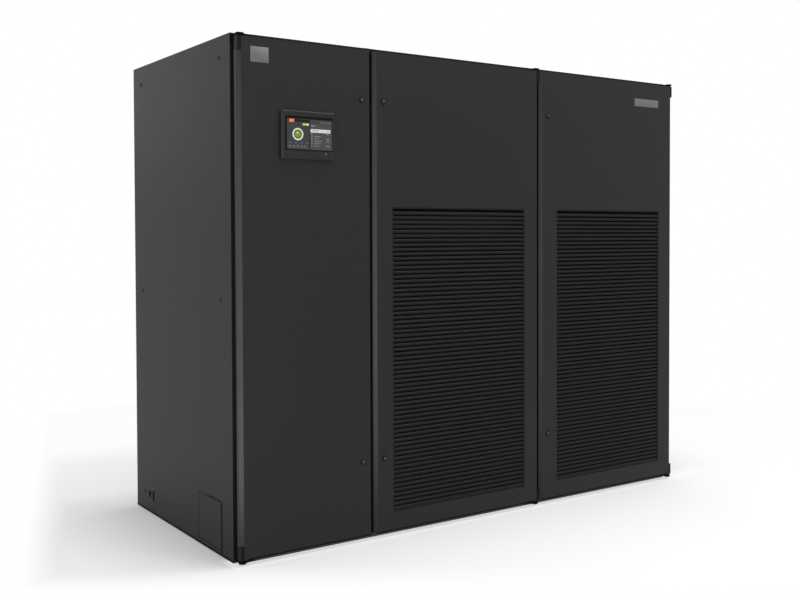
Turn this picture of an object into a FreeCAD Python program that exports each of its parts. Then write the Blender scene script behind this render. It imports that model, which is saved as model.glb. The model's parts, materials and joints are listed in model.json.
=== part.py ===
"""Floor-standing precision air conditioner for a data hall: a three-bay, three-door cabinet.

Frame: the origin is at the middle of the footprint on the floor, +Z is up, the doors face -Y
and +X is to the right of somebody who stands in front of the doors. Lengths are in millimetres.
"""
import FreeCAD, Part
import os
import re

import Sketcher
from FreeCAD import Placement, Rotation, Vector

doc = FreeCAD.newDocument("precision_air_conditioner")

# Driving dimensions
DRIVING = {
    # Cabinet envelope and bays
    "width": 2400,
    "depth": 1070,
    "height": 1990,
    "bay_one_width": 600,
    "bay_two_width": 900,
    # Folded panels of the casing
    "panel_depth": 25,
    "panel_sheet": 2,
    "panel_lip": 20,
    "panel_setback": 50,
    "panel_foot": 4,
    "hatch_front": 157,
    "hatch_length": 215,
    "hatch_top": 213,
    "hatch_gap": 3,
    "hatch_overlap": 12,
    # Frame of rails and posts
    "frame_gap": 10,
    "rail_height": 60,
    "rail_width": 50,
    "rail_wall": 4,
    "anchor_radius": 7,
    "anchor_inset": 120,
    "post_flange": 68,
    "post_sheet": 2.5,
    "post_tube": 24,
    "post_depth": 45,
    "rear_post": 40,
    "pan_sheet": 3,
    "top_sheet": 4,
    "partition_sheet": 2,
    # Top openings
    "duct_margin": 130,
    "duct_width": 620,
    "cable_entry_radius": 32,
    # Doors
    "door_depth": 30,
    "door_bottom": 22,
    "door_top_drop": 16,
    "door_sheet": 2,
    "bevel": 14,
    "seam_gap": 8,
    "edge_inset": 7,
    "door_lip": 34,
    "liner_inset": 70,
    "liner_thickness": 22,
    "gasket_inset": 18,
    "gasket_width": 10,
    "gasket_squeeze": 0.3,
    # Corner hinges
    "hinge_in": 14,
    "block_width": 28,
    "block_face": 16,
    "block_height": 52,
    "block_chamfer": 3,
    "pin_radius": 5,
    "pin_fit": 0.05,
    "pin_reach": 40,
    "strap_corner": 10,
    "strap_thickness": 6,
    "strap_length": 66,
    "strap_clearance": 2,
    # Quarter-turn locks
    "lock_inset": 52,
    "lock_upper_drop": 198,
    "lock_lower": 326,
    "lock_proud": 3,
    "lock_nut": 5,
    "lock_nut_width": 26,
    "lock_boss": 16,
    "lock_fit": 0.3,
    "spindle_radius": 7,
    "spindle_fit": 0.05,
    "cam_clearance": 1.5,
    "cam_sheet": 3,
    "cam_width": 16,
    "cam_overlap": 14,
    # Air-return grilles
    "grille_two_margin": 93,
    "grille_three_margin": 105,
    "grille_bottom": 100,
    "grille_top": 1350,
    "grille_flange": 16,
    "grille_depth": 22,
    "grille_end": 6,
    "louvre_pitch": 18.5,
    "louvre_lip": 8.5,
    "louvre_back": 3,
    "louvre_run": 15,
    "louvre_fit": 0.5,
    # Display
    "bezel_proud": 15,
    "bezel_width": 236,
    "bezel_height": 184,
    "bezel_corner": 8,
    "bezel_edge": 4,
    "bezel_drop": 355,
    "glass_width": 208,
    "glass_height": 130,
    "glass_rise": 6,
    "glass_thickness": 2,
    "glass_gap": 0.4,
    # Filters
    "filter_depth": 48,
    "filter_frame": 22,
    "filter_gap": 1.5,
    "filter_rail_wall": 2,
    "filter_rail_height": 24,
    "filter_seat": 1350,
    "media_sheet": 2,
    "media_fold": 30,
    # Evaporator coils
    "coil_thickness": 120,
    "coil_slope": 1150,
    "coil_tilt": 22,
    "coil_setback": 215,
    "coil_rise": 150,
    "coil_margin": 62,
    "coil_plate": 3,
    "coil_plate_border": 10,
    "coil_leg_width": 60,
    "coil_leg_height": 280,
    "pan_wall": 50,
    "pan_length_margin": 25,
    "pan_front": 185,
    "pan_width": 300,
    # Fans
    "deck_height": 1400,
    "deck_sheet": 3,
    "deck_fold": 30,
    "throat_radius": 172,
    "collar_height": 45,
    "ring_sheet": 2.5,
    "ring_flange": 32,
    "fan_radius": 280,
    "fan_clearance": 6,
    "fan_sheet": 3,
    "fan_height": 190,
    "blade_inner": 190,
    "blade_outer": 276,
    "blade_sheet": 4,
    "blade_sweep": 38,
    "blade_count": 7,
    "shaft_radius": 12,
    "shaft_fit": 0.05,
    "shaft_length": 30,
    "stator_radius": 95,
    "stator_length": 70,
    "stator_gap": 4,
    "bracket_gap": 50,
    "bracket_width": 140,
    "bracket_sheet": 6,
    # Compressors and pipes
    "compressor_radius": 95,
    "compressor_height": 520,
    "cap_radius": 70,
    "cap_height": 55,
    "compressor_pitch": 260,
    "foot_height": 30,
    "foot_size": 40,
    "foot_plate": 8,
    "foot_spread": 95,
    "gas_pipe_radius": 11,
    "suction_pipe_radius": 17,
    "liquid_pipe_radius": 8,
    "stub_drop": 120,
    "suction_height": 660,
    "liquid_height": 760,
    "gas_offset": 42,
    "pipe_clearance": 40,
    # Electrical panel
    "plate_setback": 235,
    "plate_top_drop": 110,
    "plate_height": 880,
    "plate_sheet": 3,
    "rail_bar_height": 35,
    "rail_bar_depth": 7.5,
    "rail_bar_sheet": 1.5,
    "rail_bar_inset": 40,
    "rail_bar_drop": 230,
    "rail_bar_pitch": 260,
    "contactor_width": 55,
    "contactor_height": 90,
    "contactor_depth": 95,
    "contactor_pitch": 74,
    "contactor_count": 4,
    "terminal_width": 16,
    "terminal_height": 60,
    "terminal_depth": 50,
    "terminal_count": 14,
    "controller_width": 300,
    "controller_height": 150,
    "controller_depth": 62,
    "isolator_size": 100,
    "isolator_depth": 80,
    "isolator_fit": 0.05,
    "isolator_shaft": 6,
    "handle_length": 70,
    "handle_width": 18,
    "handle_depth": 28,
}

dims = doc.addObject("Spreadsheet::Sheet", "dims")
for row, (alias, size) in enumerate(DRIVING.items(), start=1):
    dims.set(f"A{row}", alias)
    dims.set(f"B{row}", str(size))
    dims.setAlias(f"B{row}", alias)
doc.recompute()

# Places that follow from the driving dimensions
FACE_Y = "(bezel_proud - (depth + bezel_proud) / 2)"
REAR_Y = f"({FACE_Y} + depth)"
REAR_IN = f"({REAR_Y} - panel_depth)"
LEFT_X = "(-width / 2)"
RIGHT_X = "(width / 2)"
LEFT_IN = "(panel_depth - width / 2)"
RIGHT_IN = "(width / 2 - panel_depth)"
SEAM_ONE = "(bay_one_width - width / 2)"
SEAM_TWO = "(bay_one_width + bay_two_width - width / 2)"
FRAME_Y = f"({FACE_Y} + door_depth + frame_gap)"
POST_REAR = f"({FRAME_Y} + post_depth)"
REAR_POST_Y = f"({REAR_IN} - rear_post)"
RAIL_TOP = "(height - top_sheet)"
TOP_RAIL_Z = f"({RAIL_TOP} - rail_height)"
PAN_Z = "(rail_height + pan_sheet)"
DOOR_TOP = "(height - door_top_drop)"
DOOR_HEIGHT = f"({DOOR_TOP} - door_bottom)"
AIR_LEFT = f"({SEAM_ONE} + partition_sheet / 2)"
BAY_ONE_RIGHT = f"({SEAM_ONE} - partition_sheet / 2)"
BAY_ONE_MIDDLE = f"(({LEFT_IN} + {BAY_ONE_RIGHT}) / 2)"
BAY_TWO_MIDDLE = f"(({SEAM_ONE} + {SEAM_TWO}) / 2)"
BAY_THREE_MIDDLE = f"(({SEAM_TWO} + {RIGHT_X}) / 2)"
DECK_MIDDLE_Y = f"(({POST_REAR} + {REAR_POST_Y}) / 2)"

WORD = re.compile(r"[a-z][a-z_]*")
TURN_TO_X = Rotation(Vector(0, 1, 0), 90)
TURN_TO_Y = Rotation(Vector(1, 0, 0), -90)
nodes = {}


def bound(text):
    """Expression text in which every driving dimension is named as a cell of the sheet."""
    def cell(found):
        word = found.group()
        return f"dims.{word}" if word in DRIVING else word
    return WORD.sub(cell, str(text))


def value(text):
    """Number that an expression gives with the sheet as it stands."""
    return float(dims.evalExpression(bound(text)))


def place(thing, x, y, z, turn=None):
    """Bind a thing's place, and turn it if a rotation is given."""
    thing.Placement = Placement(Vector(), turn or Rotation())
    for axis, text in zip("xyz", (x, y, z)):
        thing.setExpression(f"Placement.Base.{axis}", bound(text))


def box(name, x, y, z, length, width, height):
    """Rectangular block from its lowest corner."""
    block = doc.addObject("Part::Box", name)
    for prop, text in (("Length", length), ("Width", width), ("Height", height)):
        block.setExpression(prop, bound(text))
    place(block, x, y, z)
    return block


def cylinder(name, x, y, z, radius, length, turn=None):
    """Round bar from the middle of its first end, along +Z unless it is turned."""
    bar = doc.addObject("Part::Cylinder", name)
    bar.setExpression("Radius", bound(radius))
    bar.setExpression("Height", bound(length))
    place(bar, x, y, z, turn)
    return bar


def cut(name, base, tool):
    """Base without the tool."""
    piece = doc.addObject("Part::Cut", name)
    piece.Base = base
    piece.Tool = tool
    return piece


def fuse(name, members):
    """One solid from several that touch."""
    piece = doc.addObject("Part::MultiFuse", name)
    piece.Shapes = members
    piece.Refine = True
    return piece


def node(label, members):
    """Register a sub-part: one thing, or a group of separate solids."""
    if len(members) == 1:
        piece = members[0]
    else:
        piece = doc.addObject("Part::Compound", label)
        piece.Links = members
    piece.Label = label
    nodes[label] = piece
    return piece


def new_body(name):
    """Empty body for a profile and its features."""
    return doc.addObject("PartDesign::Body", name)


def origin_feature(body, role):
    """One of the body's own planes or axes."""
    return next(part for part in body.Origin.OriginFeatures if part.Role == role)


def new_sketch(body, plane, offset="0"):
    """Sketch on an origin plane of the body, moved along the plane's normal."""
    sketch = body.newObject("Sketcher::SketchObject", f"{body.Name}_profile")
    sketch.AttachmentSupport = (origin_feature(body, plane), [""])
    sketch.MapMode = "FlatFace"
    sketch.setExpression("AttachmentOffset.Base.z", bound(offset))
    return sketch


def bind(sketch, kind, texts, *where):
    """Add a dimension to a sketch and tie it to an expression."""
    index = sketch.addConstraint(Sketcher.Constraint(kind, *where, value(texts)))
    sketch.setExpression(f"Constraints[{index}]", bound(texts))


def outline(sketch, points):
    """Closed outline of straight lines through points (u, v)."""
    spots = [Vector(value(u), value(v), 0) for u, v in points]
    first = sketch.GeometryCount
    for index, here in enumerate(spots):
        there = spots[(index + 1) % len(spots)]
        sketch.addGeometry(Part.LineSegment(here, there), False)
    for index, (u, v) in enumerate(points):
        line, follower = first + index, first + (index + 1) % len(points)
        sketch.addConstraint(Sketcher.Constraint("Coincident", line, 2, follower, 1))
        bind(sketch, "DistanceX", u, -1, 1, line, 1)
        bind(sketch, "DistanceY", v, -1, 1, line, 1)


def rectangle(sketch, u, v, width, height):
    """Closed rectangle from its lowest corner."""
    right, top = f"{u} + {width}", f"{v} + {height}"
    outline(sketch, [(u, v), (right, v), (right, top), (u, top)])


def ring(sketch, u, v, radius):
    """Full circle about a point."""
    circle = Part.Circle(Vector(value(u), value(v), 0), Vector(0, 0, 1), value(radius))
    index = sketch.addGeometry(circle, False)
    bind(sketch, "DistanceX", u, -1, 1, index, 3)
    bind(sketch, "DistanceY", v, -1, 1, index, 3)
    bind(sketch, "Radius", radius, index)


def pad(body, sketch, length, backwards=False):
    """Thicken a sketch along its plane's normal."""
    feature = body.newObject("PartDesign::Pad", f"{body.Name}_pad")
    feature.Profile = sketch
    feature.Reversed = backwards
    feature.setExpression("Length", bound(length))
    return feature


def pocket(body, sketch, length=None, forwards=False, both_ways=False):
    """Cut a sketch against its plane's normal: to a depth, or right through."""
    feature = body.newObject("PartDesign::Pocket", f"{body.Name}_pocket")
    feature.Profile = sketch
    feature.Reversed = forwards
    if length is None:
        feature.Type = "ThroughAll"
        feature.Midplane = both_ways
    else:
        feature.setExpression("Length", bound(length))
    return feature


def revolve(body, sketch):
    """Full turn of a sketch about the body's Z axis."""
    feature = body.newObject("PartDesign::Revolution", f"{body.Name}_turned")
    feature.Profile = sketch
    feature.ReferenceAxis = (origin_feature(body, "Z_Axis"), [""])
    feature.Angle = 360
    return feature


def extruded(name, plane, points, length, x, y, z, backwards=False):
    """Body with one outline, thickened, in its place."""
    body = new_body(name)
    sketch = new_sketch(body, plane)
    outline(sketch, points)
    pad(body, sketch, length, backwards)
    place(body, x, y, z)
    return body


def turned(name, points, x, y, z):
    """Body of revolution about a vertical axis; points are (radius, height)."""
    body = new_body(name)
    sketch = new_sketch(body, "XZ_Plane")
    outline(sketch, points)
    revolve(body, sketch)
    place(body, x, y, z)
    return body


# Casing frame: rails, posts, pans and partition
def channel_profile(opens_forward):
    """C section of a rail; the open side is at high u, or at low u if it opens forward."""
    points = [("0", "0"), ("rail_width", "0"), ("rail_width", "rail_wall"), ("rail_wall", "rail_wall"),
              ("rail_wall", "rail_height - rail_wall"), ("rail_width", "rail_height - rail_wall"),
              ("rail_width", "rail_height"), ("0", "rail_height")]
    if opens_forward:
        points = [(f"rail_width - ({u})", v) for u, v in points]
    return points


def cross_rail(name, y, z, opens_forward, anchored):
    """Rail along X between the side panels, with floor anchor holes in its lower flange."""
    body = extruded(name, "YZ_Plane", channel_profile(opens_forward),
                    f"{RIGHT_IN} - {LEFT_IN}", LEFT_IN, y, z)
    if anchored:
        holes = new_sketch(body, "XY_Plane", "rail_wall")
        for x in ("anchor_inset", f"{RIGHT_IN} - {LEFT_IN} - anchor_inset"):
            ring(holes, x, "rail_width / 2", "anchor_radius")
        pocket(body, holes, "2 * rail_wall")
    return body


def side_rail(name, x, z, opens_left):
    """Rail along Y between the front and rear rails."""
    return extruded(name, "XZ_Plane", channel_profile(opens_left),
                    f"{REAR_IN} - {FRAME_Y} - 2 * rail_width", x, f"{FRAME_Y} + rail_width", z, True)


def rail_set(label, z, anchored):
    """Rectangle of rails with two cross members below the bay seams."""
    members = [cross_rail(f"{label}_front", FRAME_Y, z, False, anchored),
               cross_rail(f"{label}_rear", f"{REAR_IN} - rail_width", z, True, anchored),
               side_rail(f"{label}_left", LEFT_IN, z, False),
               side_rail(f"{label}_right", f"{RIGHT_IN} - rail_width", z, True),
               side_rail(f"{label}_seam_one", f"{SEAM_ONE} - rail_width / 2", z, False),
               side_rail(f"{label}_seam_two", f"{SEAM_TWO} - rail_width / 2", z, False)]
    node(label, members)


POST_HEIGHT = f"({TOP_RAIL_Z} - rail_height)"


def front_post(name, x):
    """Upright tube, and the strip on its front that the doors close on and the lock cams catch behind."""
    tube = new_body(f"{name}_tube")
    sketch = new_sketch(tube, "XY_Plane")
    rectangle(sketch, "-post_tube / 2", "post_sheet", "post_tube", "post_depth - post_sheet")
    rectangle(sketch, "post_sheet - post_tube / 2", "2 * post_sheet", "post_tube - 2 * post_sheet",
              "post_depth - 3 * post_sheet")
    pad(tube, sketch, POST_HEIGHT)
    place(tube, x, FRAME_Y, "rail_height")
    strip = box(f"{name}_strip", f"{x} - post_flange / 2", FRAME_Y, "rail_height",
                "post_flange", "post_sheet", POST_HEIGHT)
    return [tube, strip]


def rear_post(name, x):
    """Square tube between the base and top rails."""
    body = new_body(name)
    sketch = new_sketch(body, "XY_Plane")
    rectangle(sketch, "0", "0", "rear_post", "rear_post")
    rectangle(sketch, "post_sheet", "post_sheet", "rear_post - 2 * post_sheet", "rear_post - 2 * post_sheet")
    pad(body, sketch, POST_HEIGHT)
    place(body, x, REAR_POST_Y, "rail_height")
    return body


def bay_partition():
    """Plate between the machine bay and the air bays, with one cut-out for the two pipes."""
    body = new_body("bay_partition")
    plate = new_sketch(body, "YZ_Plane")
    rectangle(plate, "0", "0", f"{REAR_POST_Y} - {POST_REAR}", POST_HEIGHT)
    pad(body, plate, "partition_sheet")
    hole = new_sketch(body, "YZ_Plane", "partition_sheet")
    rectangle(hole, f"{SUCTION_Y} - {POST_REAR} - pipe_clearance",
              "suction_height - rail_height - pipe_clearance",
              f"{LIQUID_Y} - {SUCTION_Y} + 2 * pipe_clearance",
              "liquid_height - suction_height + 2 * pipe_clearance")
    pocket(body, hole)
    place(body, BAY_ONE_RIGHT, POST_REAR, "rail_height")
    return body


# Casing panels
def tray(body, plane, length, height, inwards_forward):
    """Folded tray: outer skin in the plane, walls and lips towards the inside of the cabinet."""
    skin = new_sketch(body, plane)
    rectangle(skin, "0", "0", length, height)
    pad(body, skin, "panel_depth", not inwards_forward)
    sign = "" if inwards_forward else "-"
    hollow = new_sketch(body, plane, f"{sign}panel_sheet")
    rectangle(hollow, "panel_sheet", "panel_sheet", f"{length} - 2 * panel_sheet",
              f"{height} - 2 * panel_sheet")
    pocket(body, hollow, "panel_depth - 2 * panel_sheet", inwards_forward)
    mouth = new_sketch(body, plane, f"{sign}panel_depth / 2")
    rectangle(mouth, "panel_lip", "panel_lip", f"{length} - 2 * panel_lip", f"{height} - 2 * panel_lip")
    pocket(body, mouth, None, inwards_forward)


SIDE_Y = f"({FACE_Y} + panel_setback)"
SIDE_LENGTH = "(depth - panel_setback)"
SIDE_HEIGHT = "(height - panel_foot)"
HATCH_U = "(hatch_front - panel_setback)"
HATCH_HEIGHT = "(hatch_top - panel_foot - panel_lip)"


def left_side_panel():
    """Left tray with the access cover's opening near the floor."""
    body = new_body("left_side_panel")
    tray(body, "YZ_Plane", SIDE_LENGTH, SIDE_HEIGHT, True)
    hole = new_sketch(body, "YZ_Plane", "panel_depth / 2")
    rectangle(hole, HATCH_U, "panel_lip", "hatch_length", HATCH_HEIGHT)
    pocket(body, hole)
    place(body, LEFT_X, SIDE_Y, "panel_foot")
    return body


def right_side_panel():
    """Plain right tray."""
    body = new_body("right_side_panel")
    tray(body, "YZ_Plane", SIDE_LENGTH, SIDE_HEIGHT, False)
    place(body, RIGHT_X, SIDE_Y, "panel_foot")
    return body


def side_access_hatch():
    """Cover plate flush with the left panel's skin, with a rim that laps behind the skin."""
    body = new_body("side_access_hatch")
    plate = new_sketch(body, "YZ_Plane")
    rectangle(plate, "hatch_gap", "hatch_gap", "hatch_length - 2 * hatch_gap",
              f"{HATCH_HEIGHT} - 2 * hatch_gap")
    pad(body, plate, "panel_sheet")
    rim = new_sketch(body, "YZ_Plane", "panel_sheet")
    rectangle(rim, "-hatch_overlap", "0", "hatch_length + 2 * hatch_overlap",
              f"{HATCH_HEIGHT} + hatch_overlap")
    pad(body, rim, "panel_sheet")
    place(body, LEFT_X, f"{SIDE_Y} + {HATCH_U}", "panel_foot + panel_lip")
    return body


def rear_panel(name, left, right):
    """Rear tray of one bay, closed to the back and open to the inside."""
    body = new_body(name)
    tray(body, "XZ_Plane", f"({right} - {left})", SIDE_HEIGHT, True)
    place(body, left, REAR_Y, "panel_foot")
    return body


def panel_insulation():
    """Slabs in the side and rear trays, clear of the access cover."""
    slabs = []
    low = "hatch_top + panel_lip"
    high = f"height - panel_lip - ({low})"
    inner = "panel_depth - panel_sheet"
    for name, x in (("left", f"{LEFT_X} + panel_sheet"), ("right", RIGHT_IN)):
        slabs.append(box(f"insulation_{name}", x, f"{SIDE_Y} + panel_lip", low,
                         inner, f"{SIDE_LENGTH} - 2 * panel_lip", high))
    for name, left, right in REAR_BAYS:
        slabs.append(box(f"insulation_{name}", f"{left} + panel_lip", REAR_IN, low,
                         f"{right} - {left} - 2 * panel_lip", inner, high))
    return slabs


REAR_BAYS = (("rear_one", LEFT_IN, SEAM_ONE), ("rear_two", SEAM_ONE, SEAM_TWO),
             ("rear_three", SEAM_TWO, RIGHT_IN))


def top_plate(name, left, right, front, back):
    """Flat roof plate of one bay."""
    body = new_body(name)
    plate = new_sketch(body, "XY_Plane")
    rectangle(plate, "0", "0", f"{right} - {left}", f"{back} - {front}")
    pad(body, plate, "top_sheet")
    place(body, left, front, RAIL_TOP)
    return body


CABLE_ENTRY_V = "(rail_width + 3 * cable_entry_radius)"
GLAND_BACK = f"({FRAME_Y} + {CABLE_ENTRY_V} + 2 * cable_entry_radius)"


def gland_plate():
    """Front roof plate of the machine bay with two cable entries, which lifts off by itself."""
    body = top_plate("gland_plate", LEFT_IN, SEAM_ONE, FRAME_Y, GLAND_BACK)
    entries = new_sketch(body, "XY_Plane", "top_sheet")
    for side in "-+":
        ring(entries, f"{compressor_x(side)} - {LEFT_IN}", CABLE_ENTRY_V, "cable_entry_radius")
    pocket(body, entries)
    return body


def top_entry_panel():
    """Rear roof plate of the machine bay with one cut-out for the pipes."""
    body = top_plate("top_entry_panel", LEFT_IN, SEAM_ONE, GLAND_BACK, REAR_IN)
    entry = new_sketch(body, "XY_Plane", "top_sheet")
    rectangle(entry, f"{compressor_x('-')} - {LEFT_IN} - pipe_clearance",
              f"{GAS_Y} - {GLAND_BACK} - pipe_clearance", "compressor_pitch + 2 * pipe_clearance",
              f"{LIQUID_Y} - {GAS_Y} + 2 * pipe_clearance")
    pocket(body, entry)
    return body


def top_duct_panel(name, left, right, bay_right):
    """Roof plate of an air bay with the discharge opening that a duct stands on."""
    body = top_plate(name, left, right, FRAME_Y, REAR_IN)
    opening = new_sketch(body, "XY_Plane", "top_sheet")
    rectangle(opening, "duct_margin", f"{DECK_MIDDLE_Y} - {FRAME_Y} - duct_width / 2",
              f"{bay_right} - {left} - 2 * duct_margin", "duct_width")
    pocket(body, opening)
    return body


# Doors
DOORS = {
    1: {"left": f"({LEFT_X} + edge_inset)", "right": f"({SEAM_ONE} - seam_gap / 2)",
        "hinge": "left", "lock": f"({SEAM_ONE} - lock_inset)", "grille": None},
    2: {"left": f"({SEAM_ONE} + seam_gap / 2)", "right": f"({SEAM_TWO} - seam_gap / 2)",
        "hinge": "right", "lock": f"({SEAM_ONE} + lock_inset)",
        "grille": f"({SEAM_TWO} - {SEAM_ONE} - 2 * grille_two_margin)"},
    3: {"left": f"({SEAM_TWO} + seam_gap / 2)", "right": f"({RIGHT_X} - edge_inset)",
        "hinge": "right", "lock": f"({SEAM_TWO} + lock_inset)",
        "grille": f"({RIGHT_X} - {SEAM_TWO} - 2 * grille_three_margin)"},
}
BAY_MIDDLES = {1: f"(({LEFT_X} + {SEAM_ONE}) / 2)", 2: BAY_TWO_MIDDLE, 3: BAY_THREE_MIDDLE}
LOCK_HEIGHTS = {"upper": f"({DOOR_TOP} - lock_upper_drop)", "lower": "lock_lower"}
INNER_BEVEL = "(bevel + door_sheet * tan(22.5))"
GRILLE_HEIGHT = "(grille_top - grille_bottom)"
CAM_Y = "(door_depth + frame_gap + post_sheet + cam_clearance)"


def hinge_notches(body, door, width, breadth):
    """Sketch of this breadth over the door's two hinged corners, halfway through its depth."""
    sketch = new_sketch(body, "XZ_Plane", "-door_depth / 2")
    left = f"-{breadth}" if door["hinge"] == "left" else f"{width} - {breadth}"
    for low in ("-block_height", f"{DOOR_HEIGHT} - block_height"):
        rectangle(sketch, left, low, f"2 * {breadth}", "2 * block_height")
    return sketch


def door_panel(number, door):
    """Folded door tray with bevelled upright edges, a lipped back, notched hinge corners and cut-outs."""
    width = f"({door['right']} - {door['left']})"
    body = new_body(f"door_{number}_panel")
    outer = new_sketch(body, "XY_Plane")
    outline(outer, [("0", "bevel"), ("bevel", "0"), (f"{width} - bevel", "0"), (width, "bevel"),
                    (width, "door_depth"), ("0", "door_depth")])
    pad(body, outer, DOOR_HEIGHT)
    hollow = new_sketch(body, "XY_Plane", "door_sheet")
    far, back = f"({width} - door_sheet)", "(door_depth - door_sheet)"
    outline(hollow, [("door_sheet", INNER_BEVEL), (INNER_BEVEL, "door_sheet"),
                     (f"{width} - {INNER_BEVEL}", "door_sheet"), (far, INNER_BEVEL), (far, back),
                     ("door_sheet", back)])
    pocket(body, hollow, f"{DOOR_HEIGHT} - 2 * door_sheet", True)
    mouth = new_sketch(body, "XZ_Plane", "-door_depth / 2")
    rectangle(mouth, "door_lip", "door_lip", f"{width} - 2 * door_lip", f"{DOOR_HEIGHT} - 2 * door_lip")
    pocket(body, mouth)
    pocket(body, hinge_notches(body, door, width, "block_face"), None, False, True)
    pocket(body, hinge_notches(body, door, width, "block_width"))
    pocket(body, hinge_notches(body, door, width, "block_width"), "door_depth / 2 - door_sheet", True)
    front = new_sketch(body, "XZ_Plane", "-door_depth / 2")
    square = "(lock_boss + 2 * lock_fit)"
    for height in LOCK_HEIGHTS.values():
        rectangle(front, f"{door['lock']} - {door['left']} - {square} / 2",
                  f"{height} - door_bottom - {square} / 2", square, square)
    middle = f"({BAY_MIDDLES[number]} - {door['left']})"
    if door["grille"]:
        rectangle(front, f"{middle} - {door['grille']} / 2", "grille_bottom - door_bottom", door["grille"],
                  GRILLE_HEIGHT)
    pocket(body, front, None, True)
    place(body, door["left"], FACE_Y, "door_bottom")
    return body


def door_liner(number, door):
    """Insulation slab glued behind the door's skin, clear of the locks and the grille."""
    low = "door_bottom + liner_inset"
    if door["grille"]:
        low = "grille_top + liner_inset"
    return box(f"door_{number}_liner", f"{door['left']} + liner_inset", f"{FACE_Y} + door_sheet", low,
               f"{door['right']} - {door['left']} - 2 * liner_inset", "liner_thickness",
               f"{DOOR_TOP} - liner_inset - ({low})")


def door_gasket(number, door):
    """Rubber seal around the door's back, which meets the frame's front."""
    width = f"({door['right']} - {door['left']})"
    body = new_body(f"door_{number}_gasket")
    sketch = new_sketch(body, "XZ_Plane")
    rectangle(sketch, "gasket_inset", "gasket_inset", f"{width} - 2 * gasket_inset",
              f"{DOOR_HEIGHT} - 2 * gasket_inset")
    inside = "(gasket_inset + gasket_width)"
    rectangle(sketch, inside, inside, f"{width} - 2 * {inside}", f"{DOOR_HEIGHT} - 2 * {inside}")
    pad(body, sketch, "frame_gap - gasket_squeeze", True)
    place(body, door["left"], f"{FACE_Y} + door_depth", "door_bottom")
    return body


def hinge_edge(door):
    """X of the door's hinged edge, and the sign that leads from it into the door."""
    return (door["left"], "+") if door["hinge"] == "left" else (door["right"], "-")


def hinge_block(name, door, z):
    """Squared corner block with the pin's bore; the door's skin laps over its inner part."""
    edge, inward = hinge_edge(door)
    flip = "" if inward == "+" else "-"
    corner = [("0", "block_chamfer"), (f"{flip}block_chamfer", "0"), (f"{flip}block_face", "0"),
              (f"{flip}block_face", "door_sheet"), (f"{flip}block_width", "door_sheet"),
              (f"{flip}block_width", "door_depth"), ("0", "door_depth")]
    body = new_body(name)
    sketch = new_sketch(body, "XY_Plane")
    outline(sketch, corner)
    ring(sketch, f"{flip}hinge_in", "hinge_in", "pin_radius + pin_fit")
    pad(body, sketch, "block_height")
    place(body, edge, FACE_Y, z)
    return body


def lock_housing(name, door, z):
    """Lock body: a square boss through the skin with its nut behind, bored for the spindle."""
    x = door["lock"]
    front = f"{FACE_Y} - lock_proud"
    length = f"lock_proud + {CAM_Y} - lock_fit"
    boss = box(f"{name}_boss", f"{x} - lock_boss / 2", front, f"{z} - lock_boss / 2",
               "lock_boss", length, "lock_boss")
    nut = box(f"{name}_nut", f"{x} - lock_nut_width / 2", f"{FACE_Y} + door_sheet",
              f"{z} - lock_nut_width / 2", "lock_nut_width", "lock_nut", "lock_nut_width")
    body = fuse(f"{name}_body", [boss, nut])
    bore = cylinder(f"{name}_bore", x, front, z, "spindle_radius + spindle_fit", length, TURN_TO_Y)
    return cut(name, body, bore)


def door_fittings(number, door):
    """Two hinge blocks and two lock housings, all black die castings screwed to the door."""
    name = f"door_{number}"
    blocks = [hinge_block(f"{name}_block_lower", door, "door_bottom"),
              hinge_block(f"{name}_block_upper", door, f"{DOOR_TOP} - block_height")]
    return blocks + [lock_housing(f"{name}_housing_{level}", door, height)
                     for level, height in LOCK_HEIGHTS.items()]


def lock_spindle(name, door, z):
    """Lock insert with its cam, unlocked: the cam points up and turns behind the post's flange."""
    x = door["lock"]
    reach = "lock_inset - post_flange / 2 + cam_overlap"
    spindle = cylinder(f"{name}_spindle", x, f"{FACE_Y} - lock_proud", z, "spindle_radius",
                       f"lock_proud + {CAM_Y}", TURN_TO_Y)
    cam = box(f"{name}_cam", f"{x} - cam_width / 2", f"{FACE_Y} + {CAM_Y}", f"{z} - cam_width / 2",
              "cam_width", "cam_sheet", f"{reach} + cam_width / 2")
    return fuse(name, [spindle, cam])


def door_grille(number, door):
    """Return grille: a frame behind the skin and, between its uprights, a stack of lipped louvres."""
    width, height = f"({door['grille']} + 2 * grille_flange)", f"({GRILLE_HEIGHT} + 2 * grille_flange)"
    border = "(grille_flange + grille_end)"
    left, low = f"{BAY_MIDDLES[number]} - {width} / 2", "grille_bottom - grille_flange"
    surround = new_body(f"grille_{number}_frame")
    frame = new_sketch(surround, "XZ_Plane")
    rectangle(frame, "0", "0", width, height)
    rectangle(frame, border, border, f"{width} - 2 * {border}", f"{height} - 2 * {border}")
    pad(surround, frame, "grille_depth", True)
    place(surround, left, f"{FACE_Y} + door_sheet", low)
    louvres = new_body(f"grille_{number}_louvres")
    louvres.AllowCompound = True
    blade = new_sketch(louvres, "YZ_Plane", border)
    start = f"({border} + louvre_fit)"
    rise = "(louvre_lip + louvre_run)"
    outline(blade, [("0", start), ("louvre_run", f"{start} + {rise} - louvre_back"),
                    ("louvre_run", f"{start} + {rise}"), ("0", f"{start} + louvre_lip")])
    first = pad(louvres, blade, f"{width} - 2 * {border}")
    reach = f"({GRILLE_HEIGHT} - 2 * grille_end - {rise} - 2 * louvre_fit)"
    stack = louvres.newObject("PartDesign::LinearPattern", f"{louvres.Name}_stack")
    stack.Originals = [first]
    stack.Direction = (origin_feature(louvres, "Z_Axis"), [""])
    stack.setExpression("Occurrences", bound(f"floor({reach} / louvre_pitch) + 1"))
    stack.setExpression("Length", bound(reach))
    louvres.Tip = stack
    place(louvres, left, f"{FACE_Y} + door_sheet", low)
    return [surround, louvres]


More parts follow.
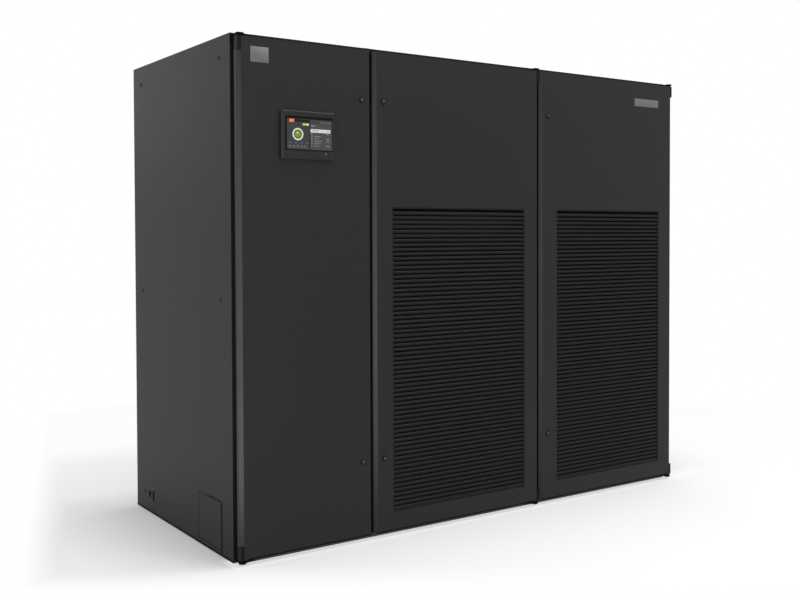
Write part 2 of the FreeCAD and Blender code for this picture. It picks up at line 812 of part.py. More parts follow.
def hinge_brackets():
    """Fixed straps on the frame above and below each door, each with a pin in the door's block."""
    brackets = []
    flat = "door_depth + frame_gap"
    for number, door in DOORS.items():
        edge, inward = hinge_edge(door)
        flip = "" if inward == "+" else "-"
        strap_points = [("0", "strap_corner"), (f"{flip}strap_corner", "0"), (f"{flip}2 * hinge_in", "0"),
                        (f"{flip}strap_length", "hinge_in"), (f"{flip}strap_length", flat), ("0", flat)]
        levels = (("upper", f"{DOOR_TOP} + strap_clearance", f"{DOOR_TOP} - pin_reach"),
                  ("lower", "door_bottom - strap_clearance - strap_thickness",
                   "door_bottom - strap_clearance"))
        for level, low, pin_low in levels:
            name = f"hinge_{number}_{level}"
            strap = extruded(f"{name}_strap", "XY_Plane", strap_points, "strap_thickness", edge, FACE_Y, low)
            pin = cylinder(f"{name}_pin", f"{edge} {inward} hinge_in", f"{FACE_Y} + hinge_in", pin_low,
                           "pin_radius", "pin_reach + strap_clearance")
            brackets.append(fuse(f"{name}_bracket", [strap, pin]))
    return brackets


# Display on the first door
BEZEL_Z = f"({DOOR_TOP} - bezel_drop)"


def display_bezel():
    """Raised surround with rounded corners, softened front edges and a seat for the glass."""
    body = new_body("display_bezel")
    plate = new_sketch(body, "XZ_Plane")
    rectangle(plate, "-bezel_width / 2", "-bezel_height / 2", "bezel_width", "bezel_height")
    block = pad(body, plate, "bezel_proud")
    doc.recompute()
    corners = [f"Edge{index}" for index, edge in enumerate(block.Shape.Edges, start=1)
               if abs(edge.tangentAt(edge.FirstParameter).y) > 0.99]
    rounded = body.newObject("PartDesign::Fillet", "bezel_corners")
    rounded.Base = (block, corners)
    rounded.setExpression("Radius", bound("bezel_corner"))
    doc.recompute()
    front_y = -value("bezel_proud")
    rim = [f"Edge{index}" for index, edge in enumerate(rounded.Shape.Edges, start=1)
           if abs(edge.BoundBox.YMin - front_y) < 1e-6 and abs(edge.BoundBox.YMax - front_y) < 1e-6]
    softened = body.newObject("PartDesign::Chamfer", "bezel_edge")
    softened.Base = (rounded, rim)
    softened.setExpression("Size", bound("bezel_edge"))
    seat = new_sketch(body, "XZ_Plane", "bezel_proud")
    rectangle(seat, "-glass_width / 2 - glass_gap", "glass_rise - glass_height / 2 - glass_gap",
              "glass_width + 2 * glass_gap", "glass_height + 2 * glass_gap")
    pocket(body, seat, "glass_thickness")
    place(body, BAY_MIDDLES[1], FACE_Y, BEZEL_Z)
    return body


def display_glass():
    """Touch glass in the bezel's seat."""
    return box("display_glass", f"{BAY_MIDDLES[1]} - glass_width / 2", f"{FACE_Y} - bezel_proud",
               f"{BEZEL_Z} + glass_rise - glass_height / 2", "glass_width", "glass_thickness", "glass_height")


# Filters behind the grilles
FILTER_COUNT = 4
FILTER_PITCH = f"(({RIGHT_IN} - {AIR_LEFT}) / {FILTER_COUNT})"
FILTER_WIDTH = f"({FILTER_PITCH} - filter_gap)"
FILTER_Y = f"({POST_REAR} + filter_rail_wall + filter_gap)"
FILTER_Z = f"({PAN_Z} + filter_rail_wall)"
FILTER_HEIGHT = f"(filter_seat - filter_rail_wall - filter_gap - {FILTER_Z})"


def filter_rail(name, z, is_upper):
    """U rail along the air bays, with its mouth towards the filters."""
    across = "(filter_depth + 2 * filter_gap + 2 * filter_rail_wall)"
    wall, tall = "filter_rail_wall", "filter_rail_height"
    points = [("0", "0"), (across, "0"), (across, tall), (f"{across} - {wall}", tall),
              (f"{across} - {wall}", wall), (wall, wall), (wall, tall), ("0", tall)]
    if is_upper:
        points = [(u, f"{tall} - ({v})") for u, v in points]
    return extruded(name, "YZ_Plane", points, f"{RIGHT_IN} - {AIR_LEFT}", AIR_LEFT, POST_REAR, z)


def filter_frame(index):
    """Card frame of one filter cell."""
    body = new_body(f"filter_frame_{index}")
    sketch = new_sketch(body, "XZ_Plane")
    rectangle(sketch, "0", "0", FILTER_WIDTH, FILTER_HEIGHT)
    rectangle(sketch, "filter_frame", "filter_frame", f"{FILTER_WIDTH} - 2 * filter_frame",
              f"{FILTER_HEIGHT} - 2 * filter_frame")
    pad(body, sketch, "filter_depth", True)
    place(body, f"{AIR_LEFT} + filter_gap / 2 + {index} * {FILTER_PITCH}", FILTER_Y, FILTER_Z)
    return body


def filter_media(index):
    """Pleated paper of one filter cell: a zigzag sheet between the frame's uprights."""
    span = f"({FILTER_WIDTH} - 2 * filter_frame)"
    folds = int(value(f"floor({span} / media_fold)"))
    front = [(f"{span} * {fold} / {folds}", "media_sheet" if fold % 2 else "filter_depth - 2 * media_sheet")
             for fold in range(folds + 1)]
    back = [(u, f"{v} + media_sheet") for u, v in reversed(front)]
    return extruded(f"filter_media_{index}", "XY_Plane", front + back, f"{FILTER_HEIGHT} - 2 * filter_frame",
                    f"{AIR_LEFT} + filter_gap / 2 + filter_frame + {index} * {FILTER_PITCH}",
                    FILTER_Y, f"{FILTER_Z} + filter_frame")


# Evaporator coils, drip pan and pipes
COIL_TURN = Rotation(Vector(-1, 0, 0), value("coil_tilt"))
COIL_Y = f"({FACE_Y} + coil_setback)"
COILS = {"left": (f"({AIR_LEFT} + coil_margin)", f"({SEAM_TWO} - coil_margin)"),
         "right": (f"({SEAM_TWO} + coil_margin)", f"({RIGHT_IN} - coil_margin)")}
SUCTION_Y = f"({COIL_Y} + coil_thickness / 2 + (suction_height - coil_rise) * tan(coil_tilt))"
LIQUID_Y = f"({COIL_Y} + coil_thickness / 2 + (liquid_height - coil_rise) * tan(coil_tilt))"
GAS_Y = f"({SUCTION_Y} - gas_offset)"
COMPRESSOR_Z = f"({PAN_Z} + foot_height + foot_plate)"
COMPRESSOR_TOP = f"({COMPRESSOR_Z} + compressor_height)"


def slanted_box(name, x, thickness, length, border):
    """Slab that leans back with the coil, with a border around the coil's own section."""
    slab = doc.addObject("Part::Box", name)
    slab.setExpression("Length", bound(length))
    slab.setExpression("Width", bound(f"{thickness} + 2 * {border}"))
    slab.setExpression("Height", bound(f"coil_slope + 2 * {border}"))
    lean = f"{border} * cos(coil_tilt)"
    drop = f"{border} * sin(coil_tilt)"
    place(slab, x, f"{COIL_Y} - {lean} - {drop}", f"coil_rise - {lean} + {drop}", COIL_TURN)
    slab.setExpression("Placement.Rotation.Angle", bound("coil_tilt"))
    return slab


def coil_parts():
    """Fin packs, their end plates with legs down to the drip pan, for both air bays."""
    packs, plates = [], []
    for side, (left, right) in COILS.items():
        packs.append(slanted_box(f"fin_pack_{side}", left, "coil_thickness", f"{right} - {left}", "0"))
        for end, x, outer in (("left", f"{left} - coil_plate", f"{left} - 2 * coil_plate"),
                              ("right", right, f"{right} + coil_plate")):
            plate = slanted_box(f"end_plate_{side}_{end}", x, "coil_thickness", "coil_plate",
                                "coil_plate_border")
            plates.append(plate)
            leg_low = f"{PAN_Z} + panel_sheet"
            leg = box(f"coil_leg_{side}_{end}", outer, f"{COIL_Y} + coil_thickness / 2", leg_low,
                      "coil_plate", "coil_leg_width", "coil_leg_height")
            plates.append(leg)
    node("coil_fin_packs", packs)
    node("coil_end_plates", plates)


def condensate_pan():
    """Drip tray under both coils, standing on the floor pan."""
    body = new_body("condensate_pan")
    length = f"({RIGHT_IN} - {AIR_LEFT} - 2 * pan_length_margin)"
    block = new_sketch(body, "XY_Plane")
    rectangle(block, "0", "0", length, "pan_width")
    pad(body, block, "pan_wall")
    hollow = new_sketch(body, "XY_Plane", "panel_sheet")
    rectangle(hollow, "panel_sheet", "panel_sheet", f"{length} - 2 * panel_sheet",
              "pan_width - 2 * panel_sheet")
    pocket(body, hollow, None, True)
    place(body, f"{AIR_LEFT} + pan_length_margin", f"{FACE_Y} + pan_front", PAN_Z)
    return body


def compressor_x(side):
    """Middle of the left (-) or right (+) compressor."""
    return f"({BAY_ONE_MIDDLE} {side} compressor_pitch / 2)"


def refrigerant_pipes():
    """Suction line over both compressors, a hot gas riser from each, and the liquid line to the coil."""
    coil_end = f"({COILS['left'][0]} - coil_plate)"
    stub_top = "(height - stub_drop)"
    suction = [cylinder("suction_main", compressor_x("-"), SUCTION_Y, "suction_height", "suction_pipe_radius",
                        f"{coil_end} - {compressor_x('-')}", TURN_TO_X)]
    risers = []
    for index, side in enumerate("-+"):
        suction.append(cylinder(f"suction_drop_{index}", compressor_x(side), SUCTION_Y, COMPRESSOR_TOP,
                                "suction_pipe_radius", f"suction_height - {COMPRESSOR_TOP}"))
        risers.append(cylinder(f"gas_riser_{index}", compressor_x(side), GAS_Y, COMPRESSOR_TOP,
                               "gas_pipe_radius", f"{stub_top} - {COMPRESSOR_TOP}"))
    liquid = [cylinder("liquid_run", BAY_ONE_MIDDLE, LIQUID_Y, "liquid_height", "liquid_pipe_radius",
                       f"{coil_end} - {BAY_ONE_MIDDLE}", TURN_TO_X),
              cylinder("liquid_riser", BAY_ONE_MIDDLE, LIQUID_Y, "liquid_height", "liquid_pipe_radius",
                       f"{stub_top} - liquid_height")]
    return [fuse("suction_line", suction), fuse("liquid_line", liquid)] + risers


def compressor(index, side):
    """Hermetic scroll compressor: a welded can with a narrower cap."""
    can = cylinder(f"compressor_can_{index}", compressor_x(side), SUCTION_Y, COMPRESSOR_Z,
                   "compressor_radius", "compressor_height - cap_height")
    cap = cylinder(f"compressor_cap_{index}", compressor_x(side), SUCTION_Y, f"{COMPRESSOR_TOP} - cap_height",
                   "cap_radius", "cap_height")
    return fuse(f"compressor_{index}", [can, cap])


def compressor_feet():
    """Foot plate of each compressor and the rubber blocks under its corners."""
    feet = []
    span = "2 * foot_spread + foot_size"
    for side in "-+":
        left = f"({compressor_x(side)} - foot_spread - foot_size / 2)"
        front = f"({SUCTION_Y} - foot_spread - foot_size / 2)"
        feet.append(box(f"foot_plate_{len(feet)}", left, front, f"{COMPRESSOR_Z} - foot_plate",
                        span, span, "foot_plate"))
        for x in (left, f"{left} + 2 * foot_spread"):
            for y in (front, f"{front} + 2 * foot_spread"):
                feet.append(box(f"foot_block_{len(feet)}", x, y, PAN_Z,
                                "foot_size", "foot_size", "foot_height"))
    return feet


# Fans above the coils
DECK_TOP = "(deck_height + deck_sheet)"
FANS = {"left": BAY_TWO_MIDDLE, "right": BAY_THREE_MIDDLE}
FAN_Z = f"({DECK_TOP} + collar_height + fan_clearance)"
BRACKET_Z = f"({FAN_Z} + fan_height + stator_gap + stator_length)"
BRACKET_SPAN = "(fan_radius + bracket_gap)"


def fan_deck():
    """Deck with folded front and rear edges and a round throat under each fan."""
    body = new_body("fan_deck")
    across = f"({REAR_POST_Y} - {POST_REAR})"
    section = new_sketch(body, "YZ_Plane")
    sheet, fold = "deck_sheet", "deck_fold"
    outline(section, [("0", f"{sheet} - {fold}"), (sheet, f"{sheet} - {fold}"), (sheet, "0"),
                      (f"{across} - {sheet}", "0"), (f"{across} - {sheet}", f"{sheet} - {fold}"),
                      (across, f"{sheet} - {fold}"), (across, sheet), ("0", sheet)])
    pad(body, section, f"{RIGHT_IN} - {AIR_LEFT}")
    throats = new_sketch(body, "XY_Plane")
    for x in FANS.values():
        ring(throats, f"{x} - {AIR_LEFT}", f"{DECK_MIDDLE_Y} - {POST_REAR}", "throat_radius")
    pocket(body, throats, None, True)
    place(body, AIR_LEFT, POST_REAR, "deck_height")
    return body


def inlet_ring(side, x):
    """Flanged collar on the deck that leads the air into the wheel's eye."""
    wall = "(throat_radius + ring_sheet)"
    return turned(f"inlet_ring_{side}",
                  [("throat_radius", "0"), ("throat_radius + ring_flange", "0"),
                   ("throat_radius + ring_flange", "ring_sheet"), (wall, "ring_sheet"),
                   (wall, "collar_height"), ("throat_radius", "collar_height")],
                  x, DECK_MIDDLE_Y, DECK_TOP)


def impeller(side, x):
    """Plug fan wheel: a back plate on the motor's shaft, backward-inclined blades and a shroud ring."""
    body = new_body(f"fan_impeller_{side}")
    plate = new_sketch(body, "XY_Plane", "fan_height - fan_sheet")
    ring(plate, "0", "0", "fan_radius")
    ring(plate, "0", "0", "shaft_radius + shaft_fit")
    pad(body, plate, "fan_sheet")
    blade = new_sketch(body, "XY_Plane", "fan_sheet / 2")
    thin = "(blade_sheet / blade_inner * 180 / pi)"
    tip = "(blade_sheet / fan_radius * 180 / pi)"
    outline(blade, [("blade_inner", "0"),
                    ("blade_outer * cos(blade_sweep)", "blade_outer * sin(blade_sweep)"),
                    (f"blade_outer * cos(blade_sweep + {tip})", f"blade_outer * sin(blade_sweep + {tip})"),
                    (f"blade_inner * cos({thin})", f"blade_inner * sin({thin})")])
    first = pad(body, blade, "fan_height - fan_sheet")
    wheel = body.newObject("PartDesign::PolarPattern", f"{body.Name}_wheel")
    wheel.Originals = [first]
    wheel.Axis = (origin_feature(body, "Z_Axis"), [""])
    wheel.Angle = 360
    wheel.setExpression("Occurrences", bound("blade_count"))
    body.Tip = wheel
    shroud = new_sketch(body, "XY_Plane")
    ring(shroud, "0", "0", "fan_radius")
    ring(shroud, "0", "0", "throat_radius + ring_sheet")
    pad(body, shroud, "fan_sheet")
    place(body, x, DECK_MIDDLE_Y, FAN_Z)
    return body


def fan_motor(side, x):
    """Stator, hung under the bracket, with the shaft that carries the wheel."""
    return turned(f"fan_motor_{side}",
                  [("0", "-shaft_length"), ("shaft_radius", "-shaft_length"), ("shaft_radius", "stator_gap"),
                   ("stator_radius", "stator_gap"), ("stator_radius", "stator_gap + stator_length"),
                   ("0", "stator_gap + stator_length")],
                  x, DECK_MIDDLE_Y, f"{FAN_Z} + fan_height")


def fan_bracket(side, x):
    """Bridge over the wheel: an upright before and behind it on the deck, and a beam for the motor."""
    left, front = f"{x} - bracket_width / 2", f"({DECK_MIDDLE_Y} - {BRACKET_SPAN})"
    members = [box(f"bracket_beam_{side}", left, front, BRACKET_Z, "bracket_width", f"2 * {BRACKET_SPAN}",
                   "bracket_sheet")]
    for end, y in (("front", front), ("rear", f"{front} + 2 * {BRACKET_SPAN} - bracket_sheet")):
        members.append(box(f"bracket_upright_{side}_{end}", left, y, DECK_TOP, "bracket_width",
                           "bracket_sheet", f"{BRACKET_Z} - {DECK_TOP}"))
    return fuse(f"fan_bracket_{side}", members)


# Electrical panel in the machine bay
PLATE_Y = f"({FACE_Y} + plate_setback)"
PLATE_TOP = "(height - plate_top_drop)"
BAR_Y = f"({PLATE_Y} - rail_bar_depth)"
BAR_LEFT = f"({LEFT_IN} + rail_bar_inset)"
BAR_LENGTH = f"({BAY_ONE_RIGHT} - {LEFT_IN} - 2 * rail_bar_inset)"


def bar_height(step):
    """Middle height of one of the mounting bars, counted from the top one."""
    return f"({PLATE_TOP} - rail_bar_drop - {step} * rail_bar_pitch)"


def mounting_bar(step):
    """Top-hat mounting bar across the panel."""
    sheet, foot = "rail_bar_sheet", "(rail_bar_height / 7)"
    tall, deep = "rail_bar_height", "rail_bar_depth"
    points = [(deep, foot), (sheet, foot), (sheet, "0"), ("0", "0"), ("0", f"{foot} + {sheet}"),
              (f"{deep} - {sheet}", f"{foot} + {sheet}"), (f"{deep} - {sheet}", f"{tall} - {foot} - {sheet}"),
              ("0", f"{tall} - {foot} - {sheet}"), ("0", tall), (sheet, tall), (sheet, f"{tall} - {foot}"),
              (deep, f"{tall} - {foot}")]
    return extruded(f"mounting_bar_{step}", "YZ_Plane", points, BAR_LENGTH, BAR_LEFT, BAR_Y,
                    f"{bar_height(step)} - rail_bar_height / 2")


def stepped_block(name, width, height, depth, x, middle):
    """Switchgear block with a raised middle, clipped on the front of a mounting bar."""
    step = f"({height} / 5)"
    shoulder = f"-{depth} * 0.6"
    points = [("0", "0"), ("0", height), (shoulder, height), (shoulder, f"{height} - {step}"),
              (f"-{depth}", f"{height} - {step}"), (f"-{depth}", step), (shoulder, step), (shoulder, "0")]
    return extruded(name, "YZ_Plane", points, width, x, BAR_Y, f"{middle} - {height} / 2")


def row_of_blocks(name, count, pitch, step, width, height, depth):
    """Equal blocks side by side along one mounting bar."""
    return [stepped_block(f"{name}_{index}", width, height, depth, f"{BAR_LEFT} + {index} * {pitch}",
                          bar_height(step)) for index in range(int(value(count)))]


ISOLATOR_X = f"({BAR_LEFT} + {BAR_LENGTH} - isolator_size / 2)"
ISOLATOR_FRONT = f"({BAR_Y} - isolator_depth)"


def isolator_body():
    """Main switch block on the upper mounting bar, bored for the handle's shaft."""
    block = box("isolator_block", f"{ISOLATOR_X} - isolator_size / 2", ISOLATOR_FRONT,
                f"{bar_height(0)} - isolator_size / 2", "isolator_size", "isolator_depth", "isolator_size")
    bore = cylinder("isolator_bore", ISOLATOR_X, ISOLATOR_FRONT, bar_height(0),
                    "isolator_shaft + isolator_fit", "isolator_depth / 2", TURN_TO_Y)
    return cut("isolator_body", block, bore)


def isolator_handle():
    """Rotary handle: a grip bar in front of the switch, with its shaft in the bore."""
    back = f"({ISOLATOR_FRONT} - lock_fit)"
    grip = box("handle_grip", f"{ISOLATOR_X} - handle_width / 2", f"{back} - handle_depth",
               f"{bar_height(0)} - handle_length / 2", "handle_width", "handle_depth", "handle_length")
    shaft = cylinder("handle_shaft", ISOLATOR_X, back, bar_height(0), "isolator_shaft",
                     "lock_fit + isolator_depth / 3", TURN_TO_Y)
    return fuse("isolator_handle", [grip, shaft])


def controller_unit():
    """Unit controller on the middle mounting bar."""
    return stepped_block("controller_unit", "controller_width", "controller_height", "controller_depth",
                         BAR_LEFT, bar_height(1))


def build():
    """Make every sub-part."""
    rail_set("base_rails", "0", True)
    rail_set("top_rails", TOP_RAIL_Z, False)
    uprights = {"left": f"{LEFT_IN} + post_flange / 2", "seam_one": SEAM_ONE, "seam_two": SEAM_TWO,
                "right": f"{RIGHT_IN} - post_flange / 2"}
    posts = [front_post(f"front_post_{name}", x) for name, x in uprights.items()]
    node("front_posts", [solid for post in posts for solid in post])
    backs = {"left": LEFT_IN, "seam_one": f"{SEAM_ONE} - rear_post / 2",
             "seam_two": f"{SEAM_TWO} - rear_post / 2", "right": f"{RIGHT_IN} - rear_post"}
    node("rear_posts", [rear_post(f"rear_post_{name}", x) for name, x in backs.items()])
    across = f"{REAR_POST_Y} - {POST_REAR}"
    node("floor_pans", [box("floor_pan_machine", LEFT_IN, POST_REAR, "rail_height",
                            f"{BAY_ONE_RIGHT} - {LEFT_IN}", across, "pan_sheet"),
                        box("floor_pan_air", AIR_LEFT, POST_REAR, "rail_height",
                            f"{RIGHT_IN} - {AIR_LEFT}", across, "pan_sheet")])
    node("bay_partition", [bay_partition()])
    node("left_side_panel", [left_side_panel()])
    node("right_side_panel", [right_side_panel()])
    node("side_access_hatch", [side_access_hatch()])
    node("rear_panels", [rear_panel(f"panel_{name}", left, right) for name, left, right in REAR_BAYS])
    node("panel_insulation", panel_insulation())
    node("gland_plate", [gland_plate()])
    node("top_entry_panel", [top_entry_panel()])
    node("top_duct_panels", [top_duct_panel("duct_panel_left", SEAM_ONE, SEAM_TWO, SEAM_TWO),
                             top_duct_panel("duct_panel_right", SEAM_TWO, RIGHT_IN, RIGHT_X)])
    for number, door in DOORS.items():
        name = f"door_{number}"
        node(f"{name}_panel", [door_panel(number, door)])
        node(f"{name}_liner", [door_liner(number, door)])
        node(f"{name}_gasket", [door_gasket(number, door)])
        node(f"{name}_fittings", door_fittings(number, door))
        for level, height in LOCK_HEIGHTS.items():
            node(f"{name}_{level}_lock", [lock_spindle(f"{name}_{level}_lock", door, height)])
        if door["grille"]:
            node(f"{name}_grille", door_grille(number, door))
    node("hinge_brackets", hinge_brackets())
    node("display_bezel", [display_bezel()])
    node("display_glass", [display_glass()])
    node("filter_rails", [filter_rail("filter_rail_lower", PAN_Z, False),
                          filter_rail("filter_rail_upper", "filter_seat - filter_rail_height", True)])
    node("filter_frames", [filter_frame(index) for index in range(FILTER_COUNT)])
    node("filter_media", [filter_media(index) for index in range(FILTER_COUNT)])
    coil_parts()
    node("condensate_pan", [condensate_pan()])
    node("compressors", [compressor(index, side) for index, side in enumerate("-+")])
    node("compressor_feet", compressor_feet())
    node("refrigerant_pipes", refrigerant_pipes())
    node("fan_deck", [fan_deck()])
    node("inlet_rings", [inlet_ring(side, x) for side, x in FANS.items()])
    node("fan_motors", [fan_motor(side, x) for side, x in FANS.items()])
    node("fan_brackets", [fan_bracket(side, x) for side, x in FANS.items()])
    for side, x in FANS.items():
        node(f"fan_impeller_{side}", [impeller(side, x)])
    node("mounting_plate", [box("mounting_plate", LEFT_IN, PLATE_Y, f"{PLATE_TOP} - plate_height",
                                f"{BAY_ONE_RIGHT} - {LEFT_IN}", "plate_sheet", "plate_height")])
    node("din_rails", [mounting_bar(step) for step in range(3)])
    node("contactors", row_of_blocks("contactor", "contactor_count", "contactor_pitch", 0,
                                     "contactor_width", "contactor_height", "contactor_depth"))
    node("terminal_blocks", row_of_blocks("terminal", "terminal_count", "terminal_width", 2,
                                          "terminal_width", "terminal_height", "terminal_depth"))
    node("controller_unit", [controller_unit()])
    node("isolator_body", [isolator_body()])
    node("isolator_handle", [isolator_handle()])


def check():
    """Stop if any object failed or any sub-part's shape isn't sound."""
    doc.recompute()
    for thing in doc.Objects:
        if "Invalid" in thing.State or "Error" in thing.State:
            raise RuntimeError(f"{thing.Name} failed: {thing.State}")
    for label, piece in nodes.items():
        if piece.Shape.isNull() or not piece.Shape.isValid() or not piece.Shape.Solids:
            raise RuntimeError(f"{label} has no sound shape")


def export():
    """Write one file for each sub-part."""
    os.makedirs("parts", exist_ok=True)
    for label, piece in nodes.items():
        piece.Shape.exportStep(f"parts/{label}.step")
    print(f"{len(nodes)} sub-parts written")


build()
check()
export()
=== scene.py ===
import json
import math

import bmesh
import bpy
from mathutils import Matrix, Vector


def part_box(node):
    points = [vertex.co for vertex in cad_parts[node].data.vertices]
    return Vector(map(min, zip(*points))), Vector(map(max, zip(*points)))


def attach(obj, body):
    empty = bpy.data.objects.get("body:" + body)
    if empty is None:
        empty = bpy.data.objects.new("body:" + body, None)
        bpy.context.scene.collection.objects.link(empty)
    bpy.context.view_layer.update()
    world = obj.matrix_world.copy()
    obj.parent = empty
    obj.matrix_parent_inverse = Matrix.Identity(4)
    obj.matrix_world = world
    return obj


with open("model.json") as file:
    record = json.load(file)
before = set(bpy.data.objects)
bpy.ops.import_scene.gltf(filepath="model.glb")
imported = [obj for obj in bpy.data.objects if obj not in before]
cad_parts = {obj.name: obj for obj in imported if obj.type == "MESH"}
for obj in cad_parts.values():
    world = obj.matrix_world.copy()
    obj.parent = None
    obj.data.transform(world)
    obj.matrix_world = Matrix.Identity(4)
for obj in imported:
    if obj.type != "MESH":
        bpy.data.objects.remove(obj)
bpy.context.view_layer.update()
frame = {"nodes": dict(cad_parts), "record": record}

MM = 0.001

# Camera of the photograph: place in metres, turn in degrees, lens and sensor in millimetres
CAMERA_PLACE = (-2.80957, -3.92184, 1.23777)
CAMERA_TURN = (88.5834, 0.1916, -34.5859)
CAMERA_LENS = 45.234
CAMERA_SENSOR = 36.0
CAMERA_SHIFT_UP = -0.0507

# Planes of the cabinet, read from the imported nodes
DOOR_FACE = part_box("door_1_panel")[0].y
PANEL_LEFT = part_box("left_side_panel")[0].x
PANEL_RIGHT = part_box("right_side_panel")[1].x
REAR_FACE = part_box("rear_panels")[1].y
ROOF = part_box("top_entry_panel")[1].z
GLASS_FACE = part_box("display_glass")[0].y


def facing(right, up, out):
    """Turn local x, y and z to these directions of the cabinet."""
    return Matrix((right, up, out)).transposed().to_4x4()


FRONT = facing((1, 0, 0), (0, 0, 1), (0, -1, 0))
LEFT = facing((0, -1, 0), (0, 0, 1), (-1, 0, 0))
RIGHT = facing((0, 1, 0), (0, 0, 1), (1, 0, 0))
REAR = facing((-1, 0, 0), (0, 0, 1), (0, 1, 0))
TOP = Matrix.Identity(4)


def seat(face, x, y, z):
    """Give the matrix that sets a shape on a face at this place, in metres."""
    return Matrix.Translation((x, y, z)) @ face


# Sockets of the colour Mix node, which shares its names between kinds
MIX_FIRST, MIX_SECOND, MIX_RESULT = 6, 7, 2


# Node trees
def put(tree, kind, values=None, **settings):
    """Add a node with its settings and the values of its sockets."""
    node = tree.nodes.new(kind)
    for key, value in settings.items():
        setattr(node, key, value)
    for socket, value in (values or {}).items():
        node.inputs[socket].default_value = value
    return node


def spread(tree, source, low, high, floor=0.0, ceiling=1.0):
    """Map a value between two levels to a new range."""
    node = put(tree, "ShaderNodeMapRange", {"From Min": low, "From Max": high})
    node.inputs["To Min"].default_value = floor
    node.inputs["To Max"].default_value = ceiling
    tree.links.new(source, node.inputs["Value"])
    return node.outputs["Result"]


def reckon(tree, operation, first, second):
    """Do one sum on a value, with a second value or a number."""
    node = put(tree, "ShaderNodeMath", operation=operation)
    tree.links.new(first, node.inputs[0])
    if isinstance(second, float):
        node.inputs[1].default_value = second
    else:
        tree.links.new(second, node.inputs[1])
    return node.outputs["Value"]


def tint(tree, share, first, second):
    """Mix two colour sockets by a share that changes over the surface."""
    node = put(tree, "ShaderNodeMix", data_type="RGBA")
    tree.links.new(share, node.inputs["Factor"])
    tree.links.new(first, node.inputs[MIX_FIRST])
    tree.links.new(second, node.inputs[MIX_SECOND])
    return node.outputs[MIX_RESULT]


def noise(tree, coords, scale, detail=2.0, roughness=0.5, distortion=0.0):
    """Add a noise texture on these coordinates."""
    values = {"Scale": scale, "Detail": detail, "Roughness": roughness, "Distortion": distortion}
    node = put(tree, "ShaderNodeTexNoise", values)
    tree.links.new(coords, node.inputs["Vector"])
    return node


def surface_group(name, extra):
    """Start a surface effect: tones and roughness levels in, colour, roughness and height out."""
    group = bpy.data.node_groups.new(name, "ShaderNodeTree")
    for label in ("Dark", "Light"):
        group.interface.new_socket(label, in_out="INPUT", socket_type="NodeSocketColor")
    for label in ("Smooth", "Rough") + extra:
        group.interface.new_socket(label, in_out="INPUT", socket_type="NodeSocketFloat")
    group.interface.new_socket("Color", in_out="OUTPUT", socket_type="NodeSocketColor")
    for label in ("Roughness", "Height"):
        group.interface.new_socket(label, in_out="OUTPUT", socket_type="NodeSocketFloat")
    given = group.nodes.new("NodeGroupInput").outputs
    result = group.nodes.new("NodeGroupOutput").inputs
    coords = put(group, "ShaderNodeTexCoord").outputs["Object"]
    return group, given, result, coords


def close_group(group, given, result, share, gloss, height):
    """Join the tone share, the gloss share and the height to the group's outputs."""
    group.links.new(tint(group, share, given["Dark"], given["Light"]), result["Color"])
    level = put(group, "ShaderNodeMapRange")
    group.links.new(gloss, level.inputs["Value"])
    group.links.new(given["Smooth"], level.inputs["To Min"])
    group.links.new(given["Rough"], level.inputs["To Max"])
    group.links.new(level.outputs["Result"], result["Roughness"])
    group.links.new(height, result["Height"])
    return group


def powder_coat_group():
    """Sprayed powder coat: orange peel, fine specks, broad cloudiness and wiped smears."""
    group, given, result, coords = surface_group("powder_coat", ("Peel",))
    peel = noise(group, coords, 1.0, 2.0)
    group.links.new(given["Peel"], peel.inputs["Scale"])
    speck = noise(group, coords, 1900.0, 1.0)
    cloud = noise(group, coords, 1.6, 4.0, 0.6)
    smear = noise(group, coords, 7.0, 5.0, 0.6, 0.9)
    mottle = spread(group, cloud.outputs["Fac"], 0.3, 0.7, 0.0, 0.75)
    grit = spread(group, speck.outputs["Fac"], 0.45, 0.75, 0.0, 0.25)
    share = reckon(group, "ADD", mottle, grit)
    gloss = spread(group, smear.outputs["Fac"], 0.3, 0.7)
    height = reckon(group, "ADD", peel.outputs["Fac"], reckon(group, "MULTIPLY", grit, 0.5))
    return close_group(group, given, result, share, gloss, height)


def spangle_group():
    """Galvanised sheet: zinc crystals of a few millimetres, each with its own shade and gloss."""
    group, given, result, coords = surface_group("zinc_spangle", ("Crystals",))
    crystal = put(group, "ShaderNodeTexVoronoi", {"Randomness": 1.0})
    group.links.new(coords, crystal.inputs["Vector"])
    group.links.new(given["Crystals"], crystal.inputs["Scale"])
    shade = put(group, "ShaderNodeSeparateColor")
    group.links.new(crystal.outputs["Color"], shade.inputs["Color"])
    bloom = noise(group, coords, 11.0, 5.0, 0.6)
    patches = spread(group, bloom.outputs["Fac"], 0.25, 0.7, 0.5, 1.0)
    share = reckon(group, "MULTIPLY", shade.outputs["Red"], patches)
    return close_group(group, given, result, share, shade.outputs["Green"], crystal.outputs["Distance"])


def brushed_group():
    """Brushed or drawn metal: long fine streaks along the sheet, with handling marks."""
    group, given, result, coords = surface_group("brushed_metal", ("Across", "Along"))
    stretch = put(group, "ShaderNodeMapping")
    scale = put(group, "ShaderNodeCombineXYZ")
    group.links.new(given["Along"], scale.inputs["X"])
    group.links.new(given["Across"], scale.inputs["Y"])
    group.links.new(given["Across"], scale.inputs["Z"])
    group.links.new(coords, stretch.inputs["Vector"])
    group.links.new(scale.outputs["Vector"], stretch.inputs["Scale"])
    streak = noise(group, stretch.outputs["Vector"], 1.0, 4.0, 0.65)
    mark = noise(group, coords, 14.0, 4.0, 0.6, 0.5)
    share = spread(group, streak.outputs["Fac"], 0.3, 0.7)
    gloss = reckon(group, "MULTIPLY", share, spread(group, mark.outputs["Fac"], 0.3, 0.7, 0.4, 1.0))
    return close_group(group, given, result, share, gloss, streak.outputs["Fac"])


